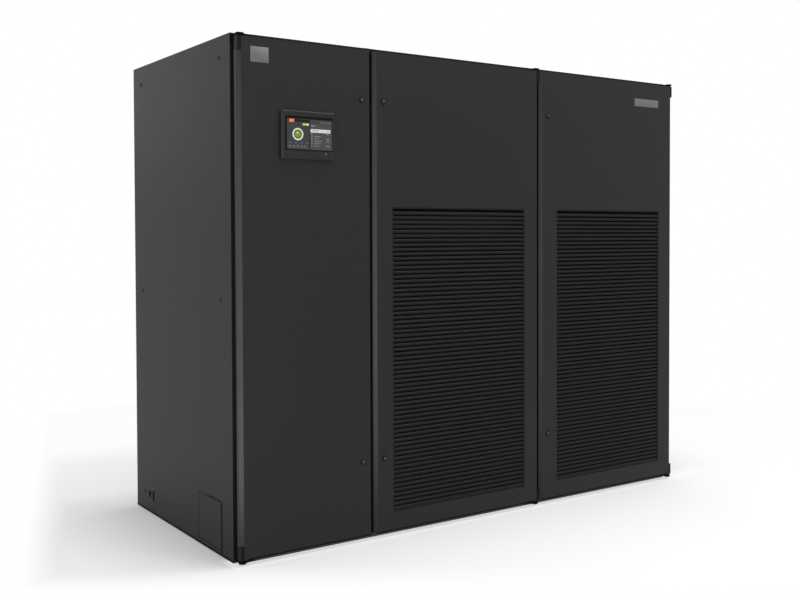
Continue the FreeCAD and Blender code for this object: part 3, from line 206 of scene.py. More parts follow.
def moulded_group():
    """Moulded plastic or rubber: fine spark-eroded grain and a faint flow cloud."""
    group, given, result, coords = surface_group("moulded_grain", ("Grain",))
    pit = put(group, "ShaderNodeTexVoronoi", feature="SMOOTH_F1")
    group.links.new(coords, pit.inputs["Vector"])
    group.links.new(given["Grain"], pit.inputs["Scale"])
    flow = noise(group, coords, 9.0, 3.0, 0.5, 0.4)
    rub = noise(group, coords, 40.0, 4.0, 0.6)
    share = spread(group, flow.outputs["Fac"], 0.3, 0.7)
    gloss = spread(group, rub.outputs["Fac"], 0.3, 0.7)
    return close_group(group, given, result, share, gloss, pit.outputs["Distance"])


def fibre_group():
    """Felt, foam and card: matted fibres over small pores."""
    group, given, result, coords = surface_group("matted_fibre", ("Pores",))
    pore = put(group, "ShaderNodeTexVoronoi")
    group.links.new(coords, pore.inputs["Vector"])
    group.links.new(given["Pores"], pore.inputs["Scale"])
    strand = noise(group, coords, 420.0, 6.0, 0.75, 1.6)
    stain = noise(group, coords, 5.0, 4.0, 0.6)
    share = reckon(group, "MULTIPLY", spread(group, strand.outputs["Fac"], 0.3, 0.7),
                   spread(group, stain.outputs["Fac"], 0.25, 0.75, 0.55, 1.0))
    height = reckon(group, "ADD", pore.outputs["Distance"], strand.outputs["Fac"])
    return close_group(group, given, result, share, pore.outputs["Distance"], height)


def fin_group():
    """Stacked fins: thin bright edges with painted shade in the dark slots between them, and noisy patches,
    as where fins are a little bent, that darken the bands and change the gloss.
    """
    group, given, result, coords = surface_group("stacked_fins", ("Pitch",))
    # Bands: the dark ones are painted shade in the slots between the fins
    line = put(group, "ShaderNodeTexWave", {"Distortion": 0.5, "Detail": 2.0, "Detail Scale": 0.4},
               wave_type="BANDS", bands_direction="X")
    group.links.new(coords, line.inputs["Vector"])
    group.links.new(given["Pitch"], line.inputs["Scale"])
    bend = noise(group, coords, 16.0, 4.0, 0.6)
    patch_darkening = spread(group, bend.outputs["Fac"], 0.25, 0.7, 0.6, 1.0)
    share = reckon(group, "MULTIPLY", line.outputs["Fac"], patch_darkening)
    return close_group(group, given, result, share, bend.outputs["Fac"], line.outputs["Fac"])


POWDER = powder_coat_group()
SPANGLE = spangle_group()
BRUSHED = brushed_group()
MOULDED = moulded_group()
FIBRE = fibre_group()
FINS = fin_group()


def grey(level, warmth=0.0):
    """Give a grey colour, a little warm or cool."""
    return (level * (1.0 + warmth), level, level * (1.0 - warmth), 1.0)


def dressed(name, group, tones, gloss, details, bump, depth, **shader_values):
    """Make a material from a surface effect: two tones, two roughness levels and a bump."""
    material = bpy.data.materials.new(name)
    material.use_nodes = True
    tree = material.node_tree
    shader = tree.nodes["Principled BSDF"]
    skin = put(tree, "ShaderNodeGroup", node_tree=group)
    skin.inputs["Dark"].default_value = tones[0]
    skin.inputs["Light"].default_value = tones[1]
    skin.inputs["Smooth"].default_value = gloss[0]
    skin.inputs["Rough"].default_value = gloss[1]
    for socket, value in details.items():
        skin.inputs[socket].default_value = value
    relief = put(tree, "ShaderNodeBump", {"Strength": bump, "Distance": depth})
    tree.links.new(skin.outputs["Height"], relief.inputs["Height"])
    tree.links.new(skin.outputs["Color"], shader.inputs["Base Color"])
    tree.links.new(skin.outputs["Roughness"], shader.inputs["Roughness"])
    tree.links.new(relief.outputs["Normal"], shader.inputs["Normal"])
    for socket, value in shader_values.items():
        shader.inputs[socket.replace("_", " ")].default_value = value
    return material


def paint(name, low, high, smooth, rough, peel=420.0, sheen=0.3, bump=0.12):
    """Powder-coated or painted steel."""
    return dressed(name, POWDER, (grey(low), grey(high)), (smooth, rough), {"Peel": peel}, bump, 0.0004,
                   Specular_IOR_Level=sheen)


def sheet(name, low, high, smooth, rough, crystals):
    """Galvanised sheet steel."""
    tones = (grey(low, -0.02), grey(high, -0.01))
    return dressed(name, SPANGLE, tones, (smooth, rough), {"Crystals": crystals}, 0.06, 0.0003,
                   Metallic=0.85)


def metal(name, dark, light, smooth, rough, across, along, bump=0.1):
    """Brushed, drawn or plated metal."""
    streaks = {"Across": across, "Along": along}
    return dressed(name, BRUSHED, (dark, light), (smooth, rough), streaks, bump, 0.0002, Metallic=1.0)


def plastic(name, dark, light, smooth, rough, grain=900.0, bump=0.15, sheen=0.35):
    """Moulded plastic or rubber."""
    return dressed(name, MOULDED, (dark, light), (smooth, rough), {"Grain": grain}, bump, 0.0002,
                   Specular_IOR_Level=sheen)


def fibre(name, dark, light, pores, bump=0.5):
    """Felt, foam, card or filter paper."""
    return dressed(name, FIBRE, (dark, light), (0.85, 0.98), {"Pores": pores}, bump, 0.0006,
                   Specular_IOR_Level=0.15)


FINISHES = {
    "casing": paint("charcoal_powder_coat", 0.0058, 0.0068, 0.42, 0.47, sheen=0.275),
    "frame_steel": paint("grey_frame_coat", 0.075, 0.095, 0.45, 0.6),
    "zinc_sheet": sheet("galvanised_sheet", 0.27, 0.45, 0.34, 0.52, 85.0),
    "stainless": metal("stainless_sheet", grey(0.42), grey(0.62), 0.22, 0.38, 700.0, 6.0),
    "black_casting": paint("black_casting_paint", 0.004, 0.006, 0.4, 0.52, peel=260.0, sheen=0.12, bump=0.25),
    "lock_zinc": metal("plated_lock_zinc", grey(0.07), grey(0.11), 0.3, 0.45, 900.0, 300.0),
    "bezel_plastic": plastic("bezel_moulding", grey(0.011), grey(0.013), 0.46, 0.54, 1100.0, sheen=0.2),
    "display_glass": plastic("black_touch_glass", grey(0.002), grey(0.003), 0.06, 0.12, 60.0, 0.01, 0.1),
    "foam": fibre("closed_cell_foam", grey(0.02), grey(0.045), 380.0),
    # Dark rubber for plugs, pads and grommets, and also for the strips of painted shade at the panels' feet
    # and round the hatch
    "rubber": plastic("sponge_rubber_and_painted_shade", grey(0.0035), grey(0.006), 0.7, 0.85, 700.0, 0.3, 0.06),
    "filter_card": fibre("filter_card", (0.42, 0.37, 0.28, 1.0), (0.6, 0.55, 0.44, 1.0), 150.0, 0.2),
    "filter_paper": fibre("filter_fibre", grey(0.6, 0.01), grey(0.82, 0.01), 520.0),
    "fin_aluminium": dressed("coil_fins", FINS, (grey(0.05), grey(0.66)), (0.3, 0.5), {"Pitch": 160.0},
                             0.6, 0.001, Metallic=0.9),
    "wheel_aluminium": metal("spun_wheel_aluminium", grey(0.2), grey(0.3), 0.32, 0.48, 400.0, 30.0),
    "motor_paint": paint("motor_paint", 0.035, 0.05, 0.35, 0.5, peel=300.0),
    "compressor_paint": paint("compressor_gloss_black", 0.01, 0.016, 0.2, 0.34, peel=160.0, sheen=0.5,
                              bump=0.2),
    "copper": metal("copper_tube", (0.5, 0.19, 0.09, 1.0), (0.78, 0.36, 0.22, 1.0), 0.22, 0.42, 90.0, 40.0,
                    0.05),
    "bar_steel": metal("plated_bar", grey(0.5, 0.02), grey(0.68, 0.02), 0.25, 0.4, 600.0, 8.0),
    "switchgear": plastic("switchgear_moulding", grey(0.05), grey(0.065), 0.4, 0.55),
    "terminal_plastic": plastic("terminal_moulding", grey(0.42, 0.02), grey(0.52, 0.02), 0.42, 0.58),
    "controller_plastic": plastic("controller_moulding", grey(0.06, -0.03), grey(0.08, -0.03), 0.42, 0.56),
    "handle_red": plastic("red_handle_moulding", (0.42, 0.012, 0.01, 1.0), (0.55, 0.02, 0.015, 1.0), 0.25,
                          0.38),
}

# Darker copy of the charcoal coat for the recessed louvre grilles: painted shade
GRILLE_SHADE_COAT = paint("grille_powder_coat_painted_shade", 0.0038, 0.0045, 0.44, 0.5, sheen=0.17)
# Darker copy of the charcoal coat for the side panels and hatch: painted shade that keeps the sides darker
# than they light up, with a little less gloss
SIDE_SHADE_COAT = paint("side_powder_coat_painted_shade", 0.0046, 0.0052, 0.482, 0.5, sheen=0.19)
CORNER_COAT = paint("corner_block_coat", 0.003, 0.0038, 0.45, 0.52, sheen=0.11)
HINGE_COAT = paint("hinge_black_coat", 0.0015, 0.0025, 0.55, 0.65, sheen=0.04)
SHADED_COAT = paint("shaded_rail_coat", 0.004, 0.005, 0.5, 0.6, sheen=0.1)
SIGNAL_YELLOW = plastic("yellow_collar_moulding", (0.62, 0.36, 0.01, 1.0), (0.72, 0.44, 0.02, 1.0), 0.35,
                        0.48)
EARTH_GREEN = plastic("green_plug_moulding", (0.02, 0.16, 0.04, 1.0), (0.03, 0.22, 0.06, 1.0), 0.4, 0.52)
NEUTRAL_BLUE = plastic("blue_terminal_moulding", (0.02, 0.08, 0.3, 1.0), (0.03, 0.11, 0.38, 1.0), 0.4, 0.52)
DUCT_GREY = plastic("duct_moulding", grey(0.24), grey(0.3), 0.45, 0.6)
NODE_FINISHES = {"door_2_grille": GRILLE_SHADE_COAT, "door_3_grille": GRILLE_SHADE_COAT, "top_rails": SHADED_COAT,
                 "left_side_panel": SIDE_SHADE_COAT, "right_side_panel": SIDE_SHADE_COAT, "side_access_hatch": SIDE_SHADE_COAT,
                 "hinge_brackets": HINGE_COAT, "door_1_fittings": CORNER_COAT,
                 "door_2_fittings": CORNER_COAT, "door_3_fittings": CORNER_COAT}


def glowing(name, low, high):
    """Lit part of the display: small cells of colour behind smooth glass."""
    material = dressed(name, MOULDED, (grey(0.002), grey(0.003)), (0.08, 0.16), {"Grain": 900.0}, 0.01,
                       0.0001, Specular_IOR_Level=0.15)
    tree = material.node_tree
    shader = tree.nodes["Principled BSDF"]
    cells = put(tree, "ShaderNodeTexVoronoi", {"Scale": 1500.0, "Randomness": 0.2})
    coords = put(tree, "ShaderNodeTexCoord")
    ramp = put(tree, "ShaderNodeValToRGB")
    ramp.color_ramp.elements[0].color = high
    ramp.color_ramp.elements[1].color = low
    tree.links.new(coords.outputs["Object"], cells.inputs["Vector"])
    tree.links.new(cells.outputs["Distance"], ramp.inputs["Fac"])
    tree.links.new(ramp.outputs["Color"], shader.inputs["Emission Color"])
    shader.inputs["Emission Strength"].default_value = 1.0
    return material


PLATE_METAL = metal("bare_plate_aluminium", grey(0.12), grey(0.18), 0.42, 0.55, 900.0, 10.0, 0.06)
NAME_PLATE_METAL = metal("dark_plate_aluminium", grey(0.15), grey(0.2), 0.42, 0.55, 900.0, 10.0, 0.06)
GLASS_BLACK = glowing("display_black", grey(0.004), grey(0.006))
SLATE = glowing("display_slate", grey(0.03, -0.08), grey(0.05, -0.08))
PANEL_GREY = glowing("display_list_grey", grey(0.05), grey(0.07))
SOFT_GREY = glowing("display_soft_grey", grey(0.17), grey(0.26))
WHITE = glowing("display_white", grey(0.55, 0.02), grey(0.75, 0.02))
ORANGE = glowing("display_orange", (0.6, 0.13, 0.03, 1.0), (0.95, 0.3, 0.1, 1.0))
YELLOW = glowing("display_yellow", (0.45, 0.36, 0.04, 1.0), (0.8, 0.65, 0.12, 1.0))
GREEN = glowing("display_green", (0.1, 0.19, 0.012, 1.0), (0.22, 0.34, 0.03, 1.0))
PALE_GREEN = glowing("display_pale_green", (0.5, 0.58, 0.4, 1.0), (0.78, 0.84, 0.68, 1.0))
DIM_GREY = glowing("display_dim_grey", grey(0.1), grey(0.15))


# Shapes
def turned(profile, sides=32, ring=False):
    """Spin a profile of (radius, height) points in millimetres, with flat ends unless it closes on itself."""
    shape = bmesh.new()
    points = [shape.verts.new((radius * MM, 0.0, height * MM)) for radius, height in profile]
    following = points[1:] + points[:1] if ring else points[1:]
    line = [shape.edges.new(pair) for pair in zip(points, following)]
    bmesh.ops.spin(shape, geom=points + line, cent=(0, 0, 0), axis=(0, 0, 1), angle=2 * math.pi, steps=sides,
                   use_merge=True)
    ends = [edge for edge in shape.edges if edge.is_boundary]
    bmesh.ops.holes_fill(shape, edges=ends, sides=0)
    bmesh.ops.recalc_face_normals(shape, faces=shape.faces[:])
    return shape


def block(width, height, thickness):
    """Make a plain bar or tooth for a piece that holds many, in millimetres."""
    shape = bmesh.new()
    size = Matrix.Diagonal((width * MM, height * MM, thickness * MM, 1.0))
    bmesh.ops.create_cube(shape, size=1.0, matrix=Matrix.Translation((0.0, 0.0, thickness * MM / 2)) @ size)
    return shape


def soften(shape, edges, offset, segments):
    """Round edges of a shape by an offset in millimetres."""
    bmesh.ops.bevel(shape, geom=edges, offset=offset * MM, offset_type="OFFSET", affect="EDGES",
                    segments=segments, profile=0.5, material=-1)


def plate(width, height, thickness, corner, rim):
    """Make a plate with rounded corners and a softened front edge, in millimetres."""
    shape = block(width, height, thickness)
    depth = thickness * MM
    upright = [edge for edge in shape.edges if abs(edge.verts[0].co.z - edge.verts[1].co.z) > depth / 2]
    soften(shape, upright, corner, 4)
    front = [edge for edge in shape.edges if min(vert.co.z for vert in edge.verts) > depth * 0.99]
    soften(shape, front, rim, 2)
    return shape


def border(width, height, band, thickness):
    """Make a flat strip round a rectangular opening, in millimetres."""
    shape = bmesh.new()
    outline = Matrix.Diagonal(((width + 2 * band) * MM, (height + 2 * band) * MM, 1.0, 1.0))
    bmesh.ops.create_grid(shape, x_segments=1, y_segments=1, size=0.5, matrix=outline)
    opening = shape.faces[:]
    bmesh.ops.inset_region(shape, faces=opening, thickness=band * MM, use_boundary=True, use_even_offset=True)
    bmesh.ops.delete(shape, geom=opening, context="FACES")
    walls = bmesh.ops.extrude_face_region(shape, geom=shape.faces[:], use_keep_orig=True)
    raised = [item for item in walls["geom"] if isinstance(item, bmesh.types.BMVert)]
    bmesh.ops.translate(shape, vec=(0.0, 0.0, thickness * MM), verts=raised)
    bmesh.ops.recalc_face_normals(shape, faces=shape.faces[:])
    return shape


# Places: each gives a shape with its matrix
def on_left(shape, y, z):
    """Set a shape on the left side panel."""
    return shape, seat(LEFT, PANEL_LEFT, y, z)


def on_right(shape, y, z):
    """Set a shape on the right side panel."""
    return shape, seat(RIGHT, PANEL_RIGHT, y, z)


def on_back(shape, x, z):
    """Set a shape on the rear panels."""
    return shape, seat(REAR, x, REAR_FACE, z)


def on_roof(shape, x, y):
    """Set a shape on the roof."""
    return shape, seat(TOP, x, y, ROOF)


def to_front(shape, x, y, z):
    """Set a shape on a face that looks forward."""
    return shape, seat(FRONT, x, y, z)


def standing(shape, x, y, z):
    """Set a shape upright."""
    return shape, seat(TOP, x, y, z)


def corners(places, reach, z):
    """Give the four corners round each place, at one height."""
    return [(x + dx, y + dy, z) for x, y in places for dx in (-reach, reach) for dy in (-reach, reach)]


def laid(shapes):
    """Join (shape, matrix) pairs in one new shape."""
    joined = bmesh.new()
    for shape, matrix in shapes:
        spare = bpy.data.meshes.new("spare")
        copy = shape.copy()
        bmesh.ops.transform(copy, matrix=matrix, verts=copy.verts[:])
        copy.to_mesh(spare)
        copy.free()
        joined.from_mesh(spare)
        bpy.data.meshes.remove(spare)
    return joined


def piece(name, shapes, slot, body="cabinet", material=None, smooth=35.0):
    """Join (shape, matrix) pairs as a named piece on its body, with the material of its slot unless a
    material is given.
    """
    mesh = bpy.data.meshes.new(name)
    joined = laid(shapes)
    joined.to_mesh(mesh)
    joined.free()
    mesh.materials.append(FINISHES[slot] if material is None else material)
    mesh.shade_smooth()
    mesh.set_sharp_from_angle(angle=math.radians(smooth))
    thing = bpy.data.objects.new(name, mesh)
    bpy.context.scene.collection.objects.link(thing)
    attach(thing, body)


# CAD nodes
for part in frame["record"]["subparts"]:
    shown = frame["nodes"][part["node"]]
    for socket in shown.material_slots:
        socket.material = NODE_FINISHES.get(part["node"], FINISHES[part["material_slot"]])

# Fasteners
SCREW = turned([(9.4, 0.0), (9.4, 0.7), (8.8, 1.2), (6.6, 1.3), (6.0, 0.8), (5.7, 1.0), (4.6, 1.4),
                (2.6, 1.4), (2.6, 0.3)], 28)
WASHER = turned([(10.0, 0.0), (10.0, 1.2), (9.0, 1.6)], 28)
HEX_HEAD = turned([(7.6, 1.6), (7.6, 6.2), (6.4, 7.0)], 6)
CLAMP = turned([(3.4, 0.0), (3.4, 0.9), (2.9, 1.4), (1.5, 1.4), (1.5, 0.5)], 20)


def bolts(face, places):
    """Give the washer and the hexagon head of a bolt at each place."""
    return [(part, seat(face, *place)) for place in places for part in (WASHER, HEX_HEAD)]


# Side panels: screws, plugs in the knock-outs, and dark rubber strips of painted shade along the panels' feet
# and on two edges of the access hatch, where the gaps lie in shadow
SIDE_SCREWS = [(-0.3775, 1.910), (0.4485, 1.910), (-0.3775, 0.991), (0.4485, 0.991), (0.4445, 0.087)]
HATCH_SCREW = (-0.3725, 0.080)
PLUGS = [(plate(21, 29, 1.6, 9, 0.6), 0.3845, 0.086), (plate(14, 44, 1.6, 6, 0.6), 0.3425, 0.084)]
# Dark strips along the foot of the side and back panels: painted shade for the shadow gap under the panels
SIDE_SHADOW_STRIP = plate(1018, 7, 1.2, 0.5, 0.3)
BACK_SHADOW_STRIP = plate(2396, 7, 1.2, 0.5, 0.3)
SHADOW_STRIP_MIDDLE = 0.0325
SHADOW_STRIP_LEVEL = 0.0075
# Dark strips on the front and top edges of the access hatch: painted shade for the shadow gap round it
HATCH_SHADOW_STRIPS = [(plate(9, 206, 0.8, 1.0, 0.2), -0.3745, 0.109), (plate(128, 3, 0.5, 1.0, 0.2), -0.306, 0.2145)]

piece("left_panel_screws", [on_left(SCREW, *place) for place in SIDE_SCREWS + [HATCH_SCREW]], "black_casting")
piece("left_panel_plugs", [on_left(*plug) for plug in PLUGS], "rubber")
piece("right_panel_screws", [on_right(SCREW, *place) for place in SIDE_SCREWS], "black_casting")
piece("panel_shadow_strips", [on_left(SIDE_SHADOW_STRIP, SHADOW_STRIP_MIDDLE, SHADOW_STRIP_LEVEL),
                       on_right(SIDE_SHADOW_STRIP, SHADOW_STRIP_MIDDLE, SHADOW_STRIP_LEVEL),
                       on_back(BACK_SHADOW_STRIP, 0.0, SHADOW_STRIP_LEVEL)], "rubber")
piece("hatch_shadow_strips", [on_left(*shadow_strip) for shadow_strip in HATCH_SHADOW_STRIPS], "rubber")

# Hinge corners and the lower edges of the doors
PANEL_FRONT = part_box("left_side_panel")[0].y
HINGE_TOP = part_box("hinge_brackets")[1].z
HINGE_LINE = -0.5125
# Black caps at the top of the side panels' front edges: painted shade that keeps the top of each side joint
# as dark as the shaded gap below
CORNER_SHADE_CAP = plate(23, 36, 1.0, 2, 0.3)
CORNER_SHADE_CAPS = (-1.1875, 1.1875)
CORNER_SHADE_CAP_LEVEL = 1.971
HINGE_PAD = turned([(11.0, 7.0), (14.0, 8.2), (16.0, 10.5), (16.0, 14.0)], 32)
HINGE_PADS = (-1.179, 0.282, 1.179)
HINGE_CAP = plate(28, 22, 5, 4, 1.0)
HINGE_CAPS = (-1.177, 0.290, 1.184)
SILLS = {1: (-1.168, -0.612), 2: (-0.588, 0.271), 3: (0.312, 1.168)}
SILL_LEVEL = 0.0248

piece("corner_shade_caps", [to_front(CORNER_SHADE_CAP, x, PANEL_FRONT, CORNER_SHADE_CAP_LEVEL) for x in CORNER_SHADE_CAPS],
      "black_casting", material=HINGE_COAT)
piece("lower_hinge_pads", [standing(HINGE_PAD, x, HINGE_LINE, 0.0) for x in HINGE_PADS], "rubber")
piece("upper_hinge_caps", [standing(HINGE_CAP, x, HINGE_LINE, HINGE_TOP) for x in HINGE_CAPS],
      "black_casting", material=HINGE_COAT)
for door, (left, right) in SILLS.items():
    sill = plate((right - left) / MM, 5, 0.8, 1.0, 0.3)
    piece(f"door_{door}_sill", [to_front(sill, (left + right) / 2, DOOR_FACE, SILL_LEVEL)], "rubber",
          f"door_{door}")

# Back panels: cover strips on the joints and screws round each panel
JOINTS = (-0.6, 0.3)
PANEL_EDGES = ((-1.15, -0.625), (-0.575, 0.275), (0.325, 1.15))
BACK_LEVELS = (0.04, 0.36, 0.68, 1.0, 1.32, 1.64, 1.955)
BACK_STRIP = plate(26, 1970, 1.4, 3, 0.4)
BACK_STRIP_LEVEL = 0.997


def screw_rows(place, levels):
    """Give screws down both edges of each panel, with one more in the middle of the end rows."""
    screws = [place(SCREW, x, level) for edges in PANEL_EDGES for x in edges for level in levels]
    middles = [sum(edges) / 2 for edges in PANEL_EDGES]
    return screws + [place(SCREW, x, level) for x in middles for level in (levels[0], levels[-1])]


piece("back_joint_strips", [on_back(BACK_STRIP, x, BACK_STRIP_LEVEL) for x in JOINTS], "casing")
piece("back_panel_screws", screw_rows(on_back, BACK_LEVELS), "black_casting")

# Roof: joint strips, screws, cable grommets, edging of the pipe entry and gaskets round the air outlets
FANS = ((-0.15, 0.0175), (0.75, 0.0175))
ROOF_DEPTHS = (-0.465, -0.15, 0.17, 0.495)
ROOF_STRIP = plate(24, 1000, 1.4, 3, 0.4)
ROOF_STRIP_MIDDLE = 0.015
GLAND_STRIP = plate(560, 24, 1.4, 3, 0.4)
GLAND_STRIP_PLACE = (-0.8935, -0.2775)
GROMMET = turned([(40.0, 0.0), (40.0, 2.0), (37.0, 4.2), (31.0, 4.6), (27.0, 2.4), (27.0, -3.6), (31.4, -3.6),
                  (31.4, 0.0)], 44, True)
CABLE_ENTRIES = ((-1.018, -0.3415), (-0.758, -0.3415))
PIPE_EDGING = border(340, 162, 9, 3.0)
PIPE_ENTRY = (-0.888, -0.047)
OUTLET_GASKET = border(640, 620, 22, 3.0)

roof_strips = [on_roof(ROOF_STRIP, x, ROOF_STRIP_MIDDLE) for x in JOINTS]
piece("roof_joint_strips", roof_strips + [on_roof(GLAND_STRIP, *GLAND_STRIP_PLACE)], "casing")
piece("roof_screws", screw_rows(on_roof, ROOF_DEPTHS), "black_casting")
piece("cable_grommets", [on_roof(GROMMET, *place) for place in CABLE_ENTRIES], "rubber")
piece("pipe_entry_edging", [on_roof(PIPE_EDGING, *PIPE_ENTRY)], "rubber")
piece("outlet_gaskets", [on_roof(OUTLET_GASKET, *place) for place in FANS], "foam")

# Machine bay: compressor domes, weld beads, heater belts, terminal boxes and foot bolts
COMPRESSORS = ((-1.018, -0.04645), (-0.758, -0.04645))
DOME = turned([(95.8, 534.0), (95.8, 567.0), (94.0, 577.0), (89.0, 592.0), (81.0, 606.0), (72.5, 617.0),
               (66.0, 622.5), (45.0, 627.0), (20.0, 629.0), (6.0, 629.3)], 64)
BEAD = turned([(94.6, -3.2), (96.8, -2.0), (97.6, 0.0), (96.8, 2.0), (94.6, 3.2)], 64, True)
BEAD_LEVELS = (0.176, 0.532)
BELT = turned([(94.8, 0.0), (97.0, 0.0), (97.6, 1.5), (97.6, 16.5), (97.0, 18.0), (94.8, 18.0)], 64, True)
BELT_LEVEL = 0.128
TERMINAL_BOX = plate(78, 96, 46, 9, 5)
TERMINAL_LID = plate(66, 84, 3, 6, 1.2)
TERMINAL_LEVEL = 0.43
TERMINAL_REACH, LID_REACH = 0.082, 0.128
FOOT_REACH, FOOT_TOP = 0.095, 0.101

piece("compressor_domes", [standing(DOME, x, y, 0.0) for x, y in COMPRESSORS], "compressor_paint",
      smooth=50.0)
piece("compressor_beads", [standing(BEAD, x, y, z) for x, y in COMPRESSORS for z in BEAD_LEVELS],
      "compressor_paint", smooth=60.0)
piece("compressor_belts", [standing(BELT, x, y, BELT_LEVEL) for x, y in COMPRESSORS], "stainless")
terminal_boxes = [to_front(TERMINAL_BOX, x, y - TERMINAL_REACH, TERMINAL_LEVEL) for x, y in COMPRESSORS]
terminal_boxes += [to_front(TERMINAL_LID, x, y - LID_REACH, TERMINAL_LEVEL) for x, y in COMPRESSORS]
piece("compressor_terminal_boxes", terminal_boxes, "switchgear")
piece("compressor_foot_bolts", bolts(TOP, corners(COMPRESSORS, FOOT_REACH, FOOT_TOP)), "bar_steel")

# Electrical panel: wiring ducts with their teeth
PLATE_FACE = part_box("mounting_plate")[0].y
DUCT_TRAY = block(494, 40, 2.4)
DUCT_COVER = plate(494, 41, 4, 0.8, 1.0)
DUCT_LEVELS = (1.24, 1.535, 1.775)
DUCT_MIDDLE = -0.888
DUCT_DEPTH = 0.047
TOOTH = block(7.5, 1.6, 47)
TOOTH_PITCH = 0.013
TOOTH_STEPS = range(-18, 19)
TOOTH_FOOT = 0.002
TOOTH_EDGES = (-0.0192, 0.0192)

ducts = []
for z in DUCT_LEVELS:
    ducts.append(to_front(DUCT_TRAY, DUCT_MIDDLE, PLATE_FACE, z))
    ducts.append(to_front(DUCT_COVER, DUCT_MIDDLE, PLATE_FACE - DUCT_DEPTH, z))
    ducts += [to_front(TOOTH, DUCT_MIDDLE + TOOTH_PITCH * step, PLATE_FACE - TOOTH_FOOT, z + edge)
              for step in TOOTH_STEPS for edge in TOOTH_EDGES]
piece("wiring_ducts", ducts, "terminal_plastic", material=DUCT_GREY)

# Electrical panel: clamp screws, faces, keys and plugs of the switchgear
CONTACTORS = [-1.1075 + 0.074 * step for step in range(4)]
CONTACTOR_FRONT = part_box("contactors")[0].y
CONTACTOR_SHOULDER = -0.357
CONTACTOR_LEVEL = 1.65
CONTACTOR_CLAMPS = [(x + side, CONTACTOR_SHOULDER, z) for x in CONTACTORS for side in (-0.017, 0.0, 0.017)
                    for z in (1.614, 1.686)]
CONTACTOR_FACE = plate(47, 42, 2, 3, 0.8)
CONTACTOR_PUSHER = plate(13, 18, 2.5, 2, 0.8)
PUSHER_FOOT = CONTACTOR_FRONT - 0.002
PUSHER_LEVEL = 1.652
TERMINALS = [-1.127 + 0.016 * step for step in range(14)]
TERMINAL_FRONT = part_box("terminal_blocks")[0].y
TERMINAL_SHOULDER = -0.330
TERMINAL_CLAMPS = [(x, TERMINAL_SHOULDER, z) for x in TERMINALS for z in (1.106, 1.154)]
TERMINAL_FACE = plate(11, 9, 0.8, 1, 0.2)
TERMINAL_FACE_LEVEL = 1.141
TERMINAL_LABEL = plate(14, 22, 0.6, 1, 0.2)
LABEL_LEVEL = 1.1235
NEUTRAL_TERMINALS, EARTH_TERMINALS = TERMINALS[9:12], TERMINALS[-2:]
CONTROLLER_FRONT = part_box("controller_unit")[0].y
CONTROLLER_SHOULDER = -0.3372
CONTROLLER_LEVEL = 1.39
CONTROLLER_COVER = plate(284, 82, 1.5, 5, 0.6)
COVER_MIDDLE = -0.985
COVER_FACE = CONTROLLER_FRONT - 0.0015
KEY = turned([(6.5, 0.0), (6.5, 2.4), (5.4, 3.2)], 28)
KEYS = (-0.975, -0.953, -0.931, -0.909)
KEY_LEVEL = 1.378
PLUG = plate(25, 19, 15, 1.5, 1.2)
PLUG_ROW = [-1.117 + 0.033 * step for step in range(9)]
PLUG_LEVELS = (1.33, 1.45)
SCREEN = plate(84, 44, 1.0, 2, 0.3)
SCREEN_MIDDLE = -1.06
LAMP = plate(5, 5, 1.2, 1.2, 0.5)
LAMP_ROW = [-0.975 + 0.014 * step for step in range(6)]
LAMP_LEVEL = 1.407
PLATE_BOLTS = [(x, PLATE_FACE, z) for x in (-1.153, -0.623) for z in (1.03, 1.85)]

clamps = [to_front(CLAMP, *place) for place in CONTACTOR_CLAMPS + TERMINAL_CLAMPS]
piece("clamp_screws", clamps + bolts(FRONT, PLATE_BOLTS), "bar_steel")
faces = [to_front(CONTACTOR_FACE, x, CONTACTOR_FRONT, CONTACTOR_LEVEL) for x in CONTACTORS]
faces += [to_front(TERMINAL_FACE, x, TERMINAL_FRONT, TERMINAL_FACE_LEVEL) for x in TERMINALS]
piece("switchgear_faces", faces, "terminal_plastic")
keys = [to_front(CONTACTOR_PUSHER, x, PUSHER_FOOT, PUSHER_LEVEL) for x in CONTACTORS]
keys.append(to_front(CONTROLLER_COVER, COVER_MIDDLE, CONTROLLER_FRONT, CONTROLLER_LEVEL))
keys += [to_front(KEY, x, COVER_FACE, KEY_LEVEL) for x in KEYS]
piece("switchgear_keys", keys, "controller_plastic")
plugs = [to_front(PLUG, x, CONTROLLER_SHOULDER, z) for x in PLUG_ROW for z in PLUG_LEVELS]
plugs += [to_front(TERMINAL_LABEL, x, TERMINAL_FRONT, LABEL_LEVEL) for x in EARTH_TERMINALS]
piece("controller_plugs", plugs, "terminal_plastic", material=EARTH_GREEN)
neutrals = [to_front(TERMINAL_LABEL, x, TERMINAL_FRONT, LABEL_LEVEL) for x in NEUTRAL_TERMINALS]
piece("neutral_terminals", neutrals, "terminal_plastic", material=NEUTRAL_BLUE)
piece("controller_screen", [to_front(SCREEN, SCREEN_MIDDLE, COVER_FACE, CONTROLLER_LEVEL)], "display_glass",
      material=SLATE)
piece("controller_lamps", [to_front(LAMP, x, COVER_FACE, LAMP_LEVEL) for x in LAMP_ROW], "display_glass",
      material=GREEN)

# Main isolator: the ring round its handle
ISOLATOR_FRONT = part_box("isolator_body")[0].y
ISOLATOR = (-0.691, ISOLATOR_FRONT, 1.65)
ISOLATOR_COLLAR = turned([(48.0, 0.0), (48.0, 1.6), (47.0, 2.4), (39.0, 2.4), (38.0, 1.6), (38.0, 0.0)], 56,
                         True)
piece("isolator_collar", [to_front(ISOLATOR_COLLAR, *ISOLATOR)], "handle_red", material=SIGNAL_YELLOW)

